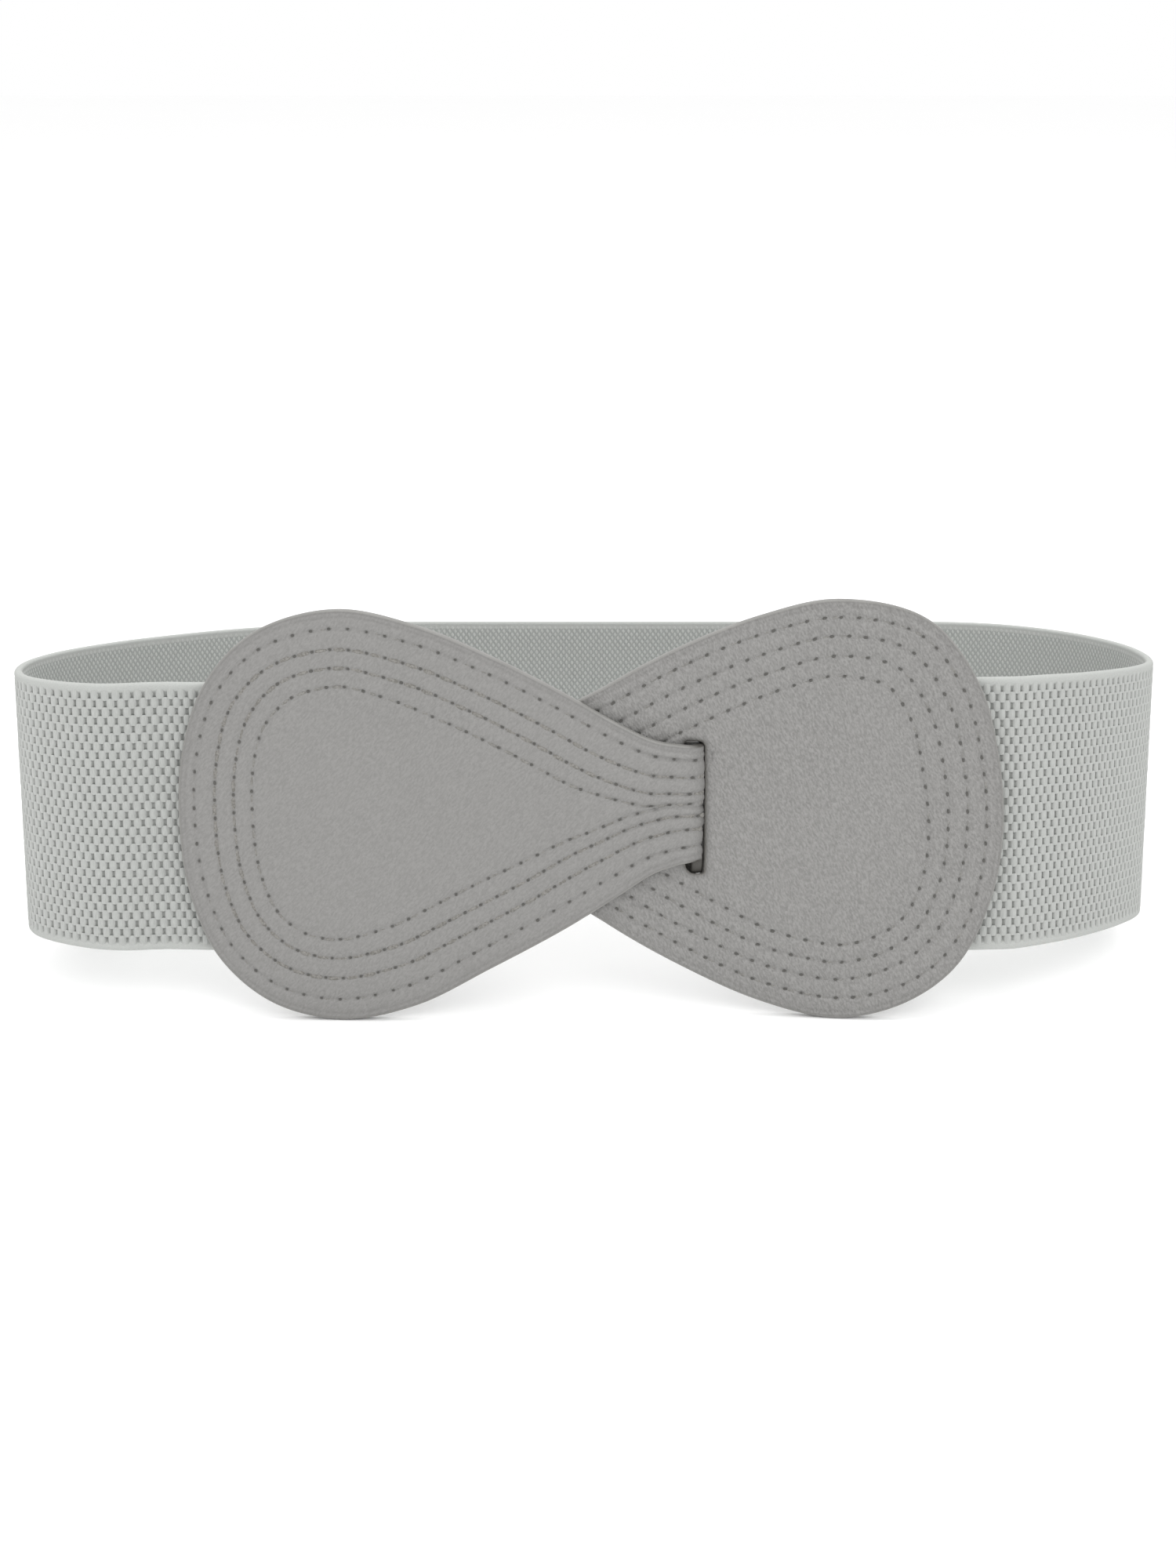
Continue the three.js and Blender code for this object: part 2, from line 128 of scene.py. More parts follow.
# Outer face of the band from above, as (x, y, heading from +X, setback for each mm of height)
BAND_PLAN = (
    (-104, -0.7, 177, -0.025), (-113.5, 2.0, 152, -0.035), (-122, 7.8, 138, -0.03),
    (-127.4, 15.6, 112, -0.015), (-129.8, 28, 92, 0), (-127, 44, 71, 0),
    (-116.8, 62, 54, 0), (-100.3, 79, 42, 0), (-74, 95, 23, 0),
    (-42, 101, 0, 0), (84, 101, 0, 0), (103.5, 97.4, -25, 0),
    (117, 86.6, -50, 0), (126.6, 70.5, -68, 0), (131.5, 49, -88, 0),
    (130, 32, -106, 0), (123.3, 22, -135, 0.01), (111.5, 12.9, -147, 0.06),
    (101.5, 7.9, -156, 0.105),
)

# Paddle outlines as (s, z) points of a smooth curve
LEFT_OUTLINE = (
    (20.6, 17), (14.5, 18), (6, 22), (-5, 28.3), (-21, 36.5), (-37, 43.1), (-54, 46.4),
    (-71.5, 41.4), (-82.4, 30.2), (-87.8, 15), (-88.9, -2), (-87, -17), (-81, -31),
    (-69.5, -41), (-54, -44.6), (-37.5, -41.2), (-21.5, -33), (-5.5, -24.2), (6.5, -16.6),
    (14.5, -11.4), (20.6, -9.2),
)
RIGHT_OUTLINE = (
    (91.1, -3), (89.8, 13.5), (85.2, 29.3), (73.9, 43.1), (54, 47.9), (37, 44.7), (20, 38.1),
    (4, 29.6), (-9, 21.2), (-15, 4), (-9, -13.6), (4, -23.4), (20, -32.8), (38, -41),
    (55, -44.5), (70, -40.8), (81.5, -32.2), (88.6, -18),
)

# Middle of each paddle's head, and its middle line as (s, z)
LEFT_HEAD = (-50, 0.7)
RIGHT_HEAD = (48, 1.5)
LEFT_SPINE = (
    LEFT_HEAD, (6.5, 3.2), (SLOT_LEFT, TONGUE_MIDDLE), (BEND_END, TAIL_MIDDLE), (TAIL_CENTRE, TAIL_MIDDLE),
)
RIGHT_SPINE = ((14, 3.6), RIGHT_HEAD)

# Section of a leather edge: inset from the outline and depth from the middle layer
EDGE_PROFILE = (
    (0, 0.5), (0.04, 0.8), (0.14, 1.03), (0.3, 1.16), (0.55, 1.22), (0.85, 1.23), (1.1, 1.21),
    (1.3, 1.17), (1.55, 1.15), (1.8, 1.19), (2.05, 1.25),
)
EDGE_PAINT = 0.35
EDGE_LEVEL = (*EDGE_PROFILE[1:], (2.5, 1.3))
CREASE = 1.5
CREASE_REACH = 0.35
EDGE_LINE = 0.6
EDGE_LINE_REACH = 0.2
# Walls of the slot and the stud hole, as (growth, depth, place from front to rear)
SLOT_WALL = (
    (1.3, 1.3, 0), (0.8, 1.26, 0), (0.35, 1.13, 0), (0.05, 0.93, 0), (-0.12, 0.7, 0.05), (-0.17, 0.4, 0.2),
    (-0.12, 0, 0.4), (-0.1, -0.6, 0.8), (-0.12, -1.2, 1.1), (0, -1.3, 1.1),
)
STUD_WALL = ((0.3, 1.3, 0), (0.05, 1.2, 0), (0, 0.9, 0), (0, -0.9, 0), (0.05, -1.2, 0), (0.3, -1.3, 0))
LIP_REACH = 1.2
# The wall is bare within this depth, its colour darkened further as painted shade of the gap, and the lips
# round it get painted shade
BARE_SHADE_DEPTH = 1
LIP_SHADE = 0.4
LIP_SHADE_REACH = 0.85

# Insets of the stitch rows, as (direction from the head's middle in degrees, rows 1 to 4)
LEFT_ROWS = (
    (12, 3.1, 7.1, 10.9, 13.1), (21, 3.4, 8.3, 12.7, 16.9), (62, 3.8, 8.4, 12.6, 17.1),
    (88, 4.1, 8.6, 12.7, 16.7), (113, 3.9, 8.3, 12.2, 16.3), (138, 3.2, 7.3, 11.6, 15.5),
    (165, 3.4, 8.0, 12.1, 16.1), (221, 4.0, 8.2, 12.6, 16.6), (247, 4.3, 9.0, 13.6, 17.9),
    (272, 4.9, 9.8, 14.4, 18.8), (322, 4.9, 9.5, 13.8, 18.4), (341, 4.8, 9.4, 13.6, 17.0),
    (352, 3.6, 7.6, 10.8, 13.1),
)
RIGHT_ROWS = (
    (17, 3.9, 8.0, 12.5, 17.2), (43, 3.7, 7.9, 12.5, 16.9), (67, 3.7, 7.7, 12.0, 16.5),
    (91, 3.9, 8.0, 12.3, 16.5), (117, 3.9, 8.3, 12.5, 16.9), (180, 4.0, 8.2, 12.4, 16.6),
    (226, 4.3, 8.0, 12.1, 16.5), (252, 4.2, 8.0, 11.8, 15.8), (277, 4.7, 8.8, 12.7, 16.6),
    (302, 3.9, 8.6, 12.4, 16.3), (326, 3.4, 8.2, 12.2, 15.9), (351, 3.9, 8.2, 12.4, 16.7),
)
# Stitch length along each row and place of its first needle hole
LEFT_STITCHES = ((3.97, 0.3), (3.93, 1.2), (3.93, 2.4), (3.93, 0.1))
RIGHT_STITCHES = ((3.78, 0.8), (3.8, 1.9), (3.78, 0.5), (3.76, 0.9))
# How much each row's thread shows, from 0 for a thin sunk line to 1 for a full thread
LEFT_SHOW = (0.25, 1, 1, 0.6)
RIGHT_SHOW = (0.35, 0.2, 0.2, 0.2)
ROW_EASE = 4
# Rows but the outermost end in the fold, this far before it meets the tail
ROWS_END = 0.5
ROWS_END_EASE = 2
# Where the innermost row is this close to the middle line, only its upper side is sewn
JOIN_ROOM = 0.4

# Relief of the stitched leather
FRONT_OFFSETS = (0.95, 0.68, 0.46, 0.27, 0.1)
BACK_OFFSETS = (0.8, 0.3)
GROOVE_DEPTH = 0.2
GROOVE_REACH = 0.6
PIT_DEPTH = 0.3
PIT_ALONG = 0.42
PIT_ACROSS = 0.28
# Shade painted into the grooves, needle pits and crease, and a darker line near the edge
GROOVE_SHADE = 0.05
PIT_SHADE = 0.42
CREASE_SHADE = 0.22
EDGE_LINE_TONE = 0.5
PUCKER = 0.06
PUCKER_ALONG = 1.1
PUCKER_ACROSS = 1.2
NECK_PUCKER = 1.5
SWELL = 0.12
NECK_SWELL = 0.42
SWELL_POWER = 0.75
SWELL_REACH = 1.4
NECK_START = -8
NECK_SPAN = 24
FOLD_EASE = 3
BACK_SHARE = 0.45
# Steps of the leather's mesh
RIB_STEP = 0.36
TAIL_RIB_STEP = 1.0
TAIL_RIBS_FROM = BEND_END + 10
LOOP_STEP = 0.05
SPINE_STEP = 0.5
KINK_EASE = 0.9
RIB_SAMPLES = 90
CAP_STEP = 1.1
CAP_CLEAR = 0.5 * CAP_STEP
CAP_PRECISION = 1e-7
# Ribs stop this far before the middle line and before a hole, as do this many ribs on either side
MIDDLE_MARGIN = 0.04
HOLE_MARGIN = 0.3
HOLE_RIBS = 3
# Least room inside the innermost row, lane that the widest offset needs as a multiple of it, and
# width of the lane inside the innermost row
ROW_MARGIN = 0.1
LANE_ROOM = 2.2
LAST_LANE = 5

# Thread
THREAD_WIDE = 0.42
THREAD_HIGH = 0.2
THREAD_TOP = -0.05
THREAD_SIDES = 8
THREAD_STEPS = 6
THREAD_DIVE = 0.5
DIVE_POWER = 4
THREAD_TAPER = 0.8
TAPER_POWER = 6
THREAD_SINK = 0.05
# Girth of a thread as a share of those sizes: the least, and how much a full thread adds
THREAD_THIN = 0.55
THREAD_SWELL = 0.7
# Shares of the stitch: where a thread starts, its least length and what a full thread adds to it
THREAD_FROM = 0.08
THREAD_SHORT = 0.46
THREAD_MORE = 0.36
THREAD_SLANT = 0.08
HOLE_SIDES = 10
# Needle holes: depth in the groove, rings as (share of the size, rise), and how far along the row
# their heading is read
HOLE_BED = 0.02
HOLE_RINGS = ((1, 0.04), (0.6, 0), (0, -0.06))
HOLE_AHEAD = 0.3
# Half their length, half their width and their turn from the row in degrees
LEFT_HOLE = (0.33, 0.25, 0)
RIGHT_HOLE = (0.43, 0.25, 14)
# Unevenness of the stitches: along and across the row, in size as a share and in depth
UNEVEN_ALONG = 0.14
UNEVEN_ACROSS = 0.07
UNEVEN_SIZE = 0.2
UNEVEN_DEPTH = 0.07
# Seeds of the random draws
STITCH_SEED = 11
THREAD_SEED = 5
HOLE_SEED = 23
PAD_SEED = 7

# Raised pads of the elastic's faces. Their width is a share of the columns' pitch, and their points
# lie at shares of half the width across and half the height down.
Face = namedtuple("Face", "rows row_pitch width height round_a round_b flat drop ground rise across down")
WOVEN = Face(
    rows=30, row_pitch=1.9, width=0.82, height=2.38, round_a=0.08, round_b=0.08, flat=4.5, drop=0.16,
    ground=-0.55, rise=0.55, across=(-1, -0.78, 0, 0.78, 1), down=(-1, -0.55, 0.55, 1),
)
KNITTED = Face(
    rows=63, row_pitch=0.92, width=0.52, height=1.1, round_a=0.4, round_b=0.2, flat=3, drop=1,
    ground=-1.8, rise=-0.2, across=(-1, 0, 1), down=(-1, 0, 1),
)
KNIT_PITCH = 1.41
KNIT_MARGIN = 1.2
# Unevenness of the pads: along and across the band, and in rise as a share
PAD_UNEVEN = (0.04, 0.03, 0.05)
# Pitch of the columns, by the distance from the left and from the right end of the band
LEFT_STRETCH = ((0, 2.3), (50, 2.35), (75, 2.42), (110, 2.28))
RIGHT_STRETCH = ((0, 2.35), (30, 2.25), (45, 1.9), (62, 1.6), (80, 1.65), (110, 2.28))
COLUMN_STEP = 0.25
COLUMN_MARGIN = 0.6

# Upper half of the band's section without its weave, as (z, depth) from outside to inside
SELVAGE = (
    (27.4, -0.55), (27.9, -0.36), (28.3, -0.2), (28.7, -0.08), (29.1, -0.03), (29.5, -0.09), (29.8, -0.3),
    (29.97, -0.65), (30.0, -1.0), (29.97, -1.35), (29.8, -1.7), (29.5, -1.88), (29.2, -1.87), (28.8, -1.82),
    (28.3, -1.8), (28.0, -1.8),
)
SELVAGE_FROM = 28.2
INNER_FROM = -1.2
BAND_STEP = 1.6
# Steps of the band's path along a lap and between two plan rows, and how far off its heading is read
LAP_STEPS = 60
PLAN_STEPS = 40
HEADING_REACH = 1.2


def smoothstep(t):
    u = np.clip(t, 0, 1)
    return u * u * (3 - 2 * u)


def bell(*offsets):
    """A bell of height 1 over some offsets, each as a share of its reach."""
    return np.exp(-sum(offset ** 2 for offset in offsets))


def compass(turn):
    """Unit vectors at some angles, one row each."""
    return np.column_stack((np.cos(turn), np.sin(turn)))


def cubic(t, start, end, leaving, arriving):
    """Cubic from start to end with those slopes at its ends."""
    rise = t * t * (3 - 2 * t)
    return start + (end - start) * rise + leaving * t * (1 - t) ** 2 + arriving * t * t * (t - 1)


def path_lengths(points):
    return np.concatenate(([0], np.cumsum(np.linalg.norm(np.diff(points, axis=0), axis=1))))


def along_path(at, along, points):
    """Coordinates of a path at some lengths along it, as one array for each."""
    return [np.interp(at, along, column) for column in points.T]


def stacked(*columns):
    """Arrays and numbers spread to one shape, side by side along a new last axis."""
    return np.stack(np.broadcast_arrays(*columns), axis=-1)


# Surfaces that the pieces follow

Station = namedtuple("Station", "x y out_x out_y lean")


def left_sheet(s, z):
    """Middle layer of the left paddle: in front of the bar, round its end and back behind it."""
    s, z = np.broadcast_arrays(s, z)
    reach = np.minimum(s - LEFT_BOW_START, 0) / LEFT_BOW_SPAN
    turn = np.clip((s - SLOT_LEFT) / BEND_RADIUS, 0, math.pi)
    radius = BEND_RADIUS + np.interp(z, *np.transpose(FOLD_BULGE))
    x = np.where(s < BEND_END, np.minimum(s, SLOT_LEFT) + radius * np.sin(turn),
                 SLOT_LEFT + BEND_END - s)
    y = LEFT_BOW * reach * reach - BEND_RADIUS * np.cos(turn)
    heading = np.arctan(2 * LEFT_BOW * reach / LEFT_BOW_SPAN) + turn
    return Station(x, y, np.sin(heading), -np.cos(heading), np.zeros_like(x))


def right_sheet(s, z):
    """Middle layer of the right paddle, which bows back from its slot and twists."""
    s, z = np.broadcast_arrays(s, z)
    reach = np.maximum(s - RIGHT_BOW_START, 0) / RIGHT_BOW_SPAN
    heading = np.arctan(2 * RIGHT_BOW * reach / RIGHT_BOW_SPAN)
    lean = RIGHT_TWIST * smoothstep(reach)
    return Station(s, RIGHT_BOW * reach * reach, np.sin(heading), -np.cos(heading), lean)


def placed(station, z, depth):
    """Points at a height and a depth out of the surface, along the last axis."""
    x = station.x + station.out_x * depth
    y = station.y + station.out_y * depth + station.lean * z
    return stacked(x, y, z)


def lap_rows(sheet, ends, count):
    """Outer face of the band where it lies behind a paddle, as rows of x, y and lean."""
    station = sheet(np.linspace(*ends, count), 0)
    points = placed(station, 0, -LEATHER / 2 - GAP)
    return np.column_stack((points[:, :2], station.lean))


def lap_plan_row(sheet, s, facing):
    """A plan row for the end of a lap, so that the free band runs on from it."""
    x, y, lean = lap_rows(sheet, (s, s), 1)[0]
    station = sheet(s, 0)
    return x, y, np.degrees(np.arctan2(station.out_x, -station.out_y)) + facing, lean


def plan_points(steps):
    """Free stretch of the band's outer face: a cubic between each two plan rows."""
    rows = [lap_plan_row(left_sheet, LEFT_END - LAP_MARGIN, 180), *BAND_PLAN,
            lap_plan_row(right_sheet, RIGHT_END + LAP_MARGIN, -180)]
    x, y, heading, lean = np.transpose(rows)
    rows = np.column_stack((x, y, lean))
    slopes = compass(np.radians(heading))
    t = np.linspace(0, 1, steps, endpoint=False)[:, None]
    points = []
    for a, b, leaving, arriving in zip(rows, rows[1:], slopes, slopes[1:]):
        chord = math.hypot(*(b - a)[:2])
        path = cubic(t, a[:2], b[:2], chord * leaving, chord * arriving)
        points.append(np.column_stack((path, a[2] + (b[2] - a[2]) * t)))
    return np.vstack((*points, rows[-1:]))


def band_station(behind, here, ahead):
    """A place on the band's outer face, from x, y and lean there and just behind and ahead."""
    heading = np.arctan2(ahead[1] - behind[1], ahead[0] - behind[0])
    return Station(here[0], here[1], -np.sin(heading), np.cos(heading), here[2])


class Band:
    """The band's outer face by length along it, from behind the left paddle round the back."""

    def __init__(self):
        left = lap_rows(left_sheet, (BAND_LAP_LEFT, LEFT_END - LAP_MARGIN), LAP_STEPS)
        right = lap_rows(right_sheet, (RIGHT_END + LAP_MARGIN, BAND_LAP_RIGHT), LAP_STEPS)
        self.rows = np.vstack((left[:-1], plan_points(PLAN_STEPS), right[1:]))
        self.along = path_lengths(self.rows[:, :2])
        self.length = self.along[-1]

    def at(self, u):
        steps = (-HEADING_REACH, 0, HEADING_REACH)
        return band_station(*(along_path(u + step, self.along, self.rows) for step in steps))


# Lean and offset from the upright drawing to the model's frame

def leaned(points):
    c, s = math.cos(LEAN), math.sin(LEAN)
    x, y, z = np.moveaxis(np.asarray(points, float), -1, 0)
    return stacked(x, c * y + s * z, c * z - s * y)


def solid_band_low():
    """Lowest corner of the leaned band as the solids have it, from its left end round the back."""
    half, cut = BAND_HEIGHT / 2, BAND_CHAMFER
    left_end = lap_rows(left_sheet, (BAND_LAP_LEFT, BAND_LAP_LEFT), 1)
    rows = np.vstack((left_end, plan_points(BAND_STEPS)))
    behind, ahead = np.vstack((rows[:1], rows[:-1])), np.vstack((rows[1:], rows[-1:]))
    station = band_station(behind.T, rows.T, ahead.T)
    edges = [placed(station, side * (half - inset), depth) for side in (-1, 1)
             for inset, depth in ((cut, 0), (0, -cut), (0, cut - BAND_THICKNESS), (cut, -BAND_THICKNESS))]
    return leaned(np.vstack(edges)).min(axis=0)


OFFSET = np.array(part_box("elastic_band")[0]) / MM - solid_band_low()


def to_row(points):
    """Upright millimetres to the model's frame in metres."""
    return (leaned(points) + OFFSET) * MM


# Meshes

def linked(name, data):
    """A new object in the scene."""
    item = bpy.data.objects.new(name, data)
    bpy.context.collection.objects.link(item)
    return item


def build_mesh(name, points, *faces, **attributes):
    """A smooth-shaded mesh object from upright points, with named numbers on its points."""
    mesh = bpy.data.meshes.new(name)
    corners = [face for group in faces for face in np.asarray(group).tolist()]
    mesh.from_pydata(to_row(points).reshape(-1, 3).tolist(), [], corners)
    mesh.polygons.foreach_set("use_smooth", np.ones(len(corners), bool))
    for key, values in attributes.items():
        values = np.asarray(values, np.float32)
        kind, slot = ("FLOAT_VECTOR", "vector") if values.ndim > 1 else ("FLOAT", "value")
        mesh.attributes.new(key, kind, "POINT").data.foreach_set(slot, values.ravel())
    mesh.update()
    return linked(name, mesh)


def place_piece(piece, node, material):
    piece.data.materials.append(material)
    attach(piece, "root")
    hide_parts(node)


def many(faces, size, count):
    """The same faces for each of many copies of a patch of that many points."""
    return (faces[None] + size * np.arange(count)[:, None, None]).reshape(-1, faces.shape[1])


def grid_quads(rows, columns, closed=False):
    """Quads of a grid whose points run along its columns first."""
    c = np.arange(columns if closed else columns - 1)
    after = (c + 1) % columns
    return many(np.column_stack((c, after, columns + after, columns + c)), columns, rows - 1)


# Outlines laid flat

def curve_through(points, closed, steps=60):
    """Smooth curve through points, each stretch weighted by the root of its chord."""
    points = np.array(points, float)
    if closed:
        points = np.vstack((points[-1:], points, points[:2]))
    else:
        points = np.vstack((2 * points[0] - points[1], points, 2 * points[-1] - points[-2]))
    t = np.linspace(0, 1, steps, endpoint=False)[:, None]
    pieces = []
    for p0, p1, p2, p3 in zip(points, points[1:], points[2:], points[3:]):
        d0, d1, d2 = (math.sqrt(np.linalg.norm(b - a)) for a, b in ((p0, p1), (p1, p2), (p2, p3)))
        m1 = ((p1 - p0) / d0 - (p2 - p0) / (d0 + d1) + (p2 - p1) / d1) * d1
        m2 = ((p2 - p1) / d1 - (p3 - p1) / (d1 + d2) + (p3 - p2) / d2) * d1
        pieces.append(cubic(t, p1, p2, m1, m2))
    return np.vstack(pieces if closed else [*pieces, points[-2:-1]])


def even_loop(loop, step):
    closed = np.vstack((loop, loop[:1]))
    along = path_lengths(closed)
    at = np.linspace(0, along[-1], round(along[-1] / step), endpoint=False)
    return np.column_stack(along_path(at, along, closed))


def eased_loop(loop, step, reach):
    """The loop with its kinks eased over a short reach."""
    shifts = np.arange(-round(3 * reach / step), round(3 * reach / step) + 1)
    weights = np.exp(-0.5 * (shifts * step / reach) ** 2)
    weights /= weights.sum()
    return sum(w * np.roll(loop, k, axis=0) for w, k in zip(weights, shifts))


def left_loop():
    """Outline of the left paddle and its tongue, anticlockwise from the tail's tip."""
    half_turn = np.linspace(-0.5 * math.pi, 0.5 * math.pi, 2 * TIP_STEPS + 1)
    tip = (TAIL_CENTRE, TAIL_MIDDLE) + TAIL_HALF * compass(half_turn)
    upper, lower = (np.array(side) * (BEND_LENGTH, 1) + (SLOT_LEFT, 0) for side in (FOLD_UPPER, FOLD_LOWER))
    front = curve_through(LEFT_OUTLINE, closed=False)
    return np.vstack((tip[TIP_STEPS:], upper[:0:-1], front, lower[1:], tip[:TIP_STEPS]))


def right_loop():
    """Outline of the right paddle, anticlockwise from its hidden end."""
    loop = curve_through(RIGHT_OUTLINE, closed=True)
    return np.roll(loop, -int(loop[:, 0].argmin()), axis=0)


def slot_loop(grow=0, rear=0):
    """The slot's outline, grown all round, anticlockwise. It differs from front to rear."""
    signs = np.array(((1, 1), (-1, 1), (-1, -1), (1, -1)))
    corners = np.where(signs > 0, (SLOT_RIGHT, SLOT_TOP), (SLOT_LEFT, SLOT_BOTTOM))
    arcs = []
    for k, radius in enumerate(SLOT_CORNERS):
        turn = np.linspace(k, k + 1, SLOT_STEPS + 1) * math.pi / 2
        arcs.append(corners[k] - radius * signs[k] + (radius + grow) * compass(turn))
    share = np.arange(1, SLOT_STEPS)[:, None] / SLOT_STEPS
    points = np.vstack([np.vstack((arc, arc[-1] + (following[0] - arc[-1]) * share))
                        for arc, following in zip(arcs, arcs[1:] + arcs[:1])])
    across = np.clip((points[:, 0] - SLOT_LEFT) / (SLOT_RIGHT - SLOT_LEFT), 0, 1)
    down = np.clip((SLOT_TOP - points[:, 1]) / (SLOT_TOP - SLOT_BOTTOM), 0, 1)
    height, front_out, rear_out = np.transpose(SLOT_SIDE)
    right = np.interp(points[:, 1], height, (1 - rear) * front_out + rear * rear_out)
    points[:, 0] += across * right + (1 - across) * SLOT_FOOT_IN * down ** SLOT_FADE
    points[:, 1] -= (SLOT_DOWN + rear * SLOT_REAR_DOWN) * down ** SLOT_FADE
    points[:, 1] -= rear * SLOT_HEAD_DOWN * across * (1 - down) ** SLOT_FADE
    return points


def stud_hole_loop(grow=0, rear=0):
    turn = np.linspace(0, 2 * math.pi, STUD_HOLE_SIDES, endpoint=False)
    return (STUD_S, TAIL_MIDDLE) + (STUD_HOLE + grow) * compass(turn)


def inside(points, loop):
    """Which points lie inside a closed loop."""
    x, y = points.T
    hit = np.zeros(len(x), bool)
    for (ax, ay), (bx, by) in zip(loop, np.roll(loop, -1, axis=0)):
        crossing = (ay > y) != (by > y)
        with np.errstate(divide="ignore", invalid="ignore"):
            hit ^= crossing & (x < (bx - ax) * (y - ay) / (by - ay) + ax)
    return hit


def nearest(points, border):
    """For each flat point, the number of the nearest border point and its distance."""
    tree = KDTree(len(border))
    for k, (s, z) in enumerate(border.tolist()):
        tree.insert((s, z, 0), k)
    tree.balance()
    _, numbers, distances = zip(*(tree.find((s, z, 0)) for s, z in points.tolist()))
    return np.array(numbers), np.array(distances)


def marked(points, depth, tone=0, paint=0, raw=0):
    """Flat points as rows of s, z, depth, and how far they get painted shade, edge paint and the bare wall's
    colour with painted shade.
    """
    return stacked(*points.T, depth, tone, paint, raw)


class Paddle:
    """A leather paddle's flat layout: ribs run in from its outline to its middle line."""

    def __init__(self, sheet, loop, spine, head, rows, stitches, inner_hole):
        self.sheet, self.stitches = sheet, stitches
        self.tongued = sheet is left_sheet
        dense = eased_loop(even_loop(loop, LOOP_STEP), LOOP_STEP, KINK_EASE)
        starts = self.rib_starts(dense)
        self.edge = dense[starts]
        self.spine = self.spine_points(dense, starts, np.array(spine, float))
        self.lay_ribs(dense, inner_hole)
        self.lay_rows(head, np.array(rows, float))

    def rib_starts(self, dense):
        """Places of the ribs round the outline, wider apart on the hidden tail."""
        behind = self.tongued & (dense[:, 0] > TAIL_RIBS_FROM)
        cost = np.cumsum(LOOP_STEP / np.where(behind, TAIL_RIB_STEP, RIB_STEP))
        return np.searchsorted(cost, np.arange(0.5, cost[-1], 1))

    def spine_points(self, dense, starts, spine):
        """Where each rib ends on the middle line, so that it starts square to the edge."""
        s = np.arange(spine[0, 0], spine[-1, 0] + SPINE_STEP, SPINE_STEP).clip(spine[0, 0], spine[-1, 0])
        line = np.column_stack((s, np.interp(s, *spine.T)))
        above = dense[:, 1] > np.interp(dense[:, 0], *spine.T)
        sides = (np.flatnonzero(above), np.flatnonzero(~above))
        at = np.concatenate([side[nearest(line, dense[side])[0]] for side in sides])
        s_end = np.interp(starts, at, np.tile(s, 2), period=len(dense))
        return np.column_stack((s_end, np.interp(s_end, *spine.T)))

    def lay_ribs(self, dense, inner_hole):
        """Distance from the edge at steps along each rib, and how far in a rib may run."""
        self.share = np.linspace(0, 1, RIB_SAMPLES)
        steps = self.edge[:, None] + (self.spine - self.edge)[:, None] * self.share[None, :, None]
        flat = steps.reshape(-1, 2)
        depth = nearest(flat, dense)[1].reshape(len(self.edge), -1)
        self.inset = np.maximum.accumulate(depth, axis=1)
        self.middle = self.inset[:, -1]
        barred = inside(flat, inner_hole).reshape(depth.shape)
        reached = np.where(barred, self.inset, np.inf).min(axis=1)
        nearby = np.min([np.roll(reached, k) for k in range(-HOLE_RIBS, HOLE_RIBS + 1)], axis=0)
        self.limit = np.minimum(self.middle - MIDDLE_MARGIN, nearby - HOLE_MARGIN)

    def lay_rows(self, head, table):
        """Inset of each stitch row at each rib. Rows close up where there is little room."""
        towards = np.degrees(np.arctan2(self.edge[:, 1] - head[1], self.edge[:, 0] - head[0])) % 360
        period = None if self.tongued else 360
        insets = [np.interp(towards, table[:, 0], row, period=period) for row in table.T[1:]]
        insets = eased_loop(np.column_stack(insets), RIB_STEP, ROW_EASE)
        first, last = insets[:, :1], insets[:, -1:]
        room = (self.limit[:, None] - ROW_MARGIN - first) / (last - first)
        self.insets = first + (insets - first) * np.clip(room, 0, 1)
        lanes = np.diff(self.insets, axis=1)
        self.tightness = np.clip(lanes.min(axis=1) / (LANE_ROOM * max(FRONT_OFFSETS)), 0, 1)

    def at_inset(self, inset):
        """Flat points on the ribs at that inset, one for each rib."""
        share = np.array([np.interp(d, row, self.share) for d, row in zip(inset, self.inset)])
        return self.edge + (self.spine - self.edge) * share[:, None]

    def ring_insets(self, offsets):
        """Insets of the rings inside the edge, as columns, from the outside in."""
        rings = []
        room = np.clip((self.limit - self.insets[:, -1]) / (max(offsets) * self.tightness), 0, 1)
        for k, row in enumerate(self.insets.T):
            if k:
                rings.append(0.5 * (row + self.insets[:, k - 1]))
            rings += [row - offset * self.tightness for offset in offsets]
            inner = room if k == len(self.stitches) - 1 else 1
            rings += [row + offset * self.tightness * inner for offset in reversed(offsets)]
        return np.column_stack(rings)

    def neck(self, s):
        """From 0 on the head to 1 in the fold and on the tail."""
        return smoothstep((s - NECK_START) / NECK_SPAN) * self.tongued

    def in_fold(self, s):
        """From 0 in front of the slot's left side to 1 in the fold."""
        return smoothstep((s - SLOT_LEFT) / FOLD_EASE) * self.tongued

    def worn(self, s, z, paint):
        """Painted shade in the fold: on its painted edge, and where its lower side drops."""
        dropped = smoothstep((DROP_TOP - z) / DROP_EASE) * (s < BEND_END)
        return self.in_fold(s) * np.maximum(paint, dropped)

    def swell(self, s):
        """How far the leather swells between its rows, most of all just before the fold."""
        return SWELL + (NECK_SWELL - SWELL) * self.neck(s) * (1 - self.in_fold(s))

    def stitched(self, k, s):
        """How far row k is sewn, from 0 to 1."""
        if self.tongued and k:
            return smoothstep((BEND_END - ROWS_END - s) / ROWS_END_EASE)
        return np.ones_like(s)

    def row_path(self, k):
        """Row k as flat points, with its length along each and where it is sewn."""
        points = self.at_inset(self.insets[:, k])
        sewn = self.stitched(k, self.edge[:, 0]) > 0.5
        if k == len(self.stitches) - 1 and self.tongued:
            sewn &= (self.middle >= self.insets[:, k] + JOIN_ROOM) | (self.edge[:, 1] >= TONGUE_MIDDLE)
        closed = np.vstack((points, points[:1]))
        return closed, path_lengths(closed), np.append(sewn, sewn[0])

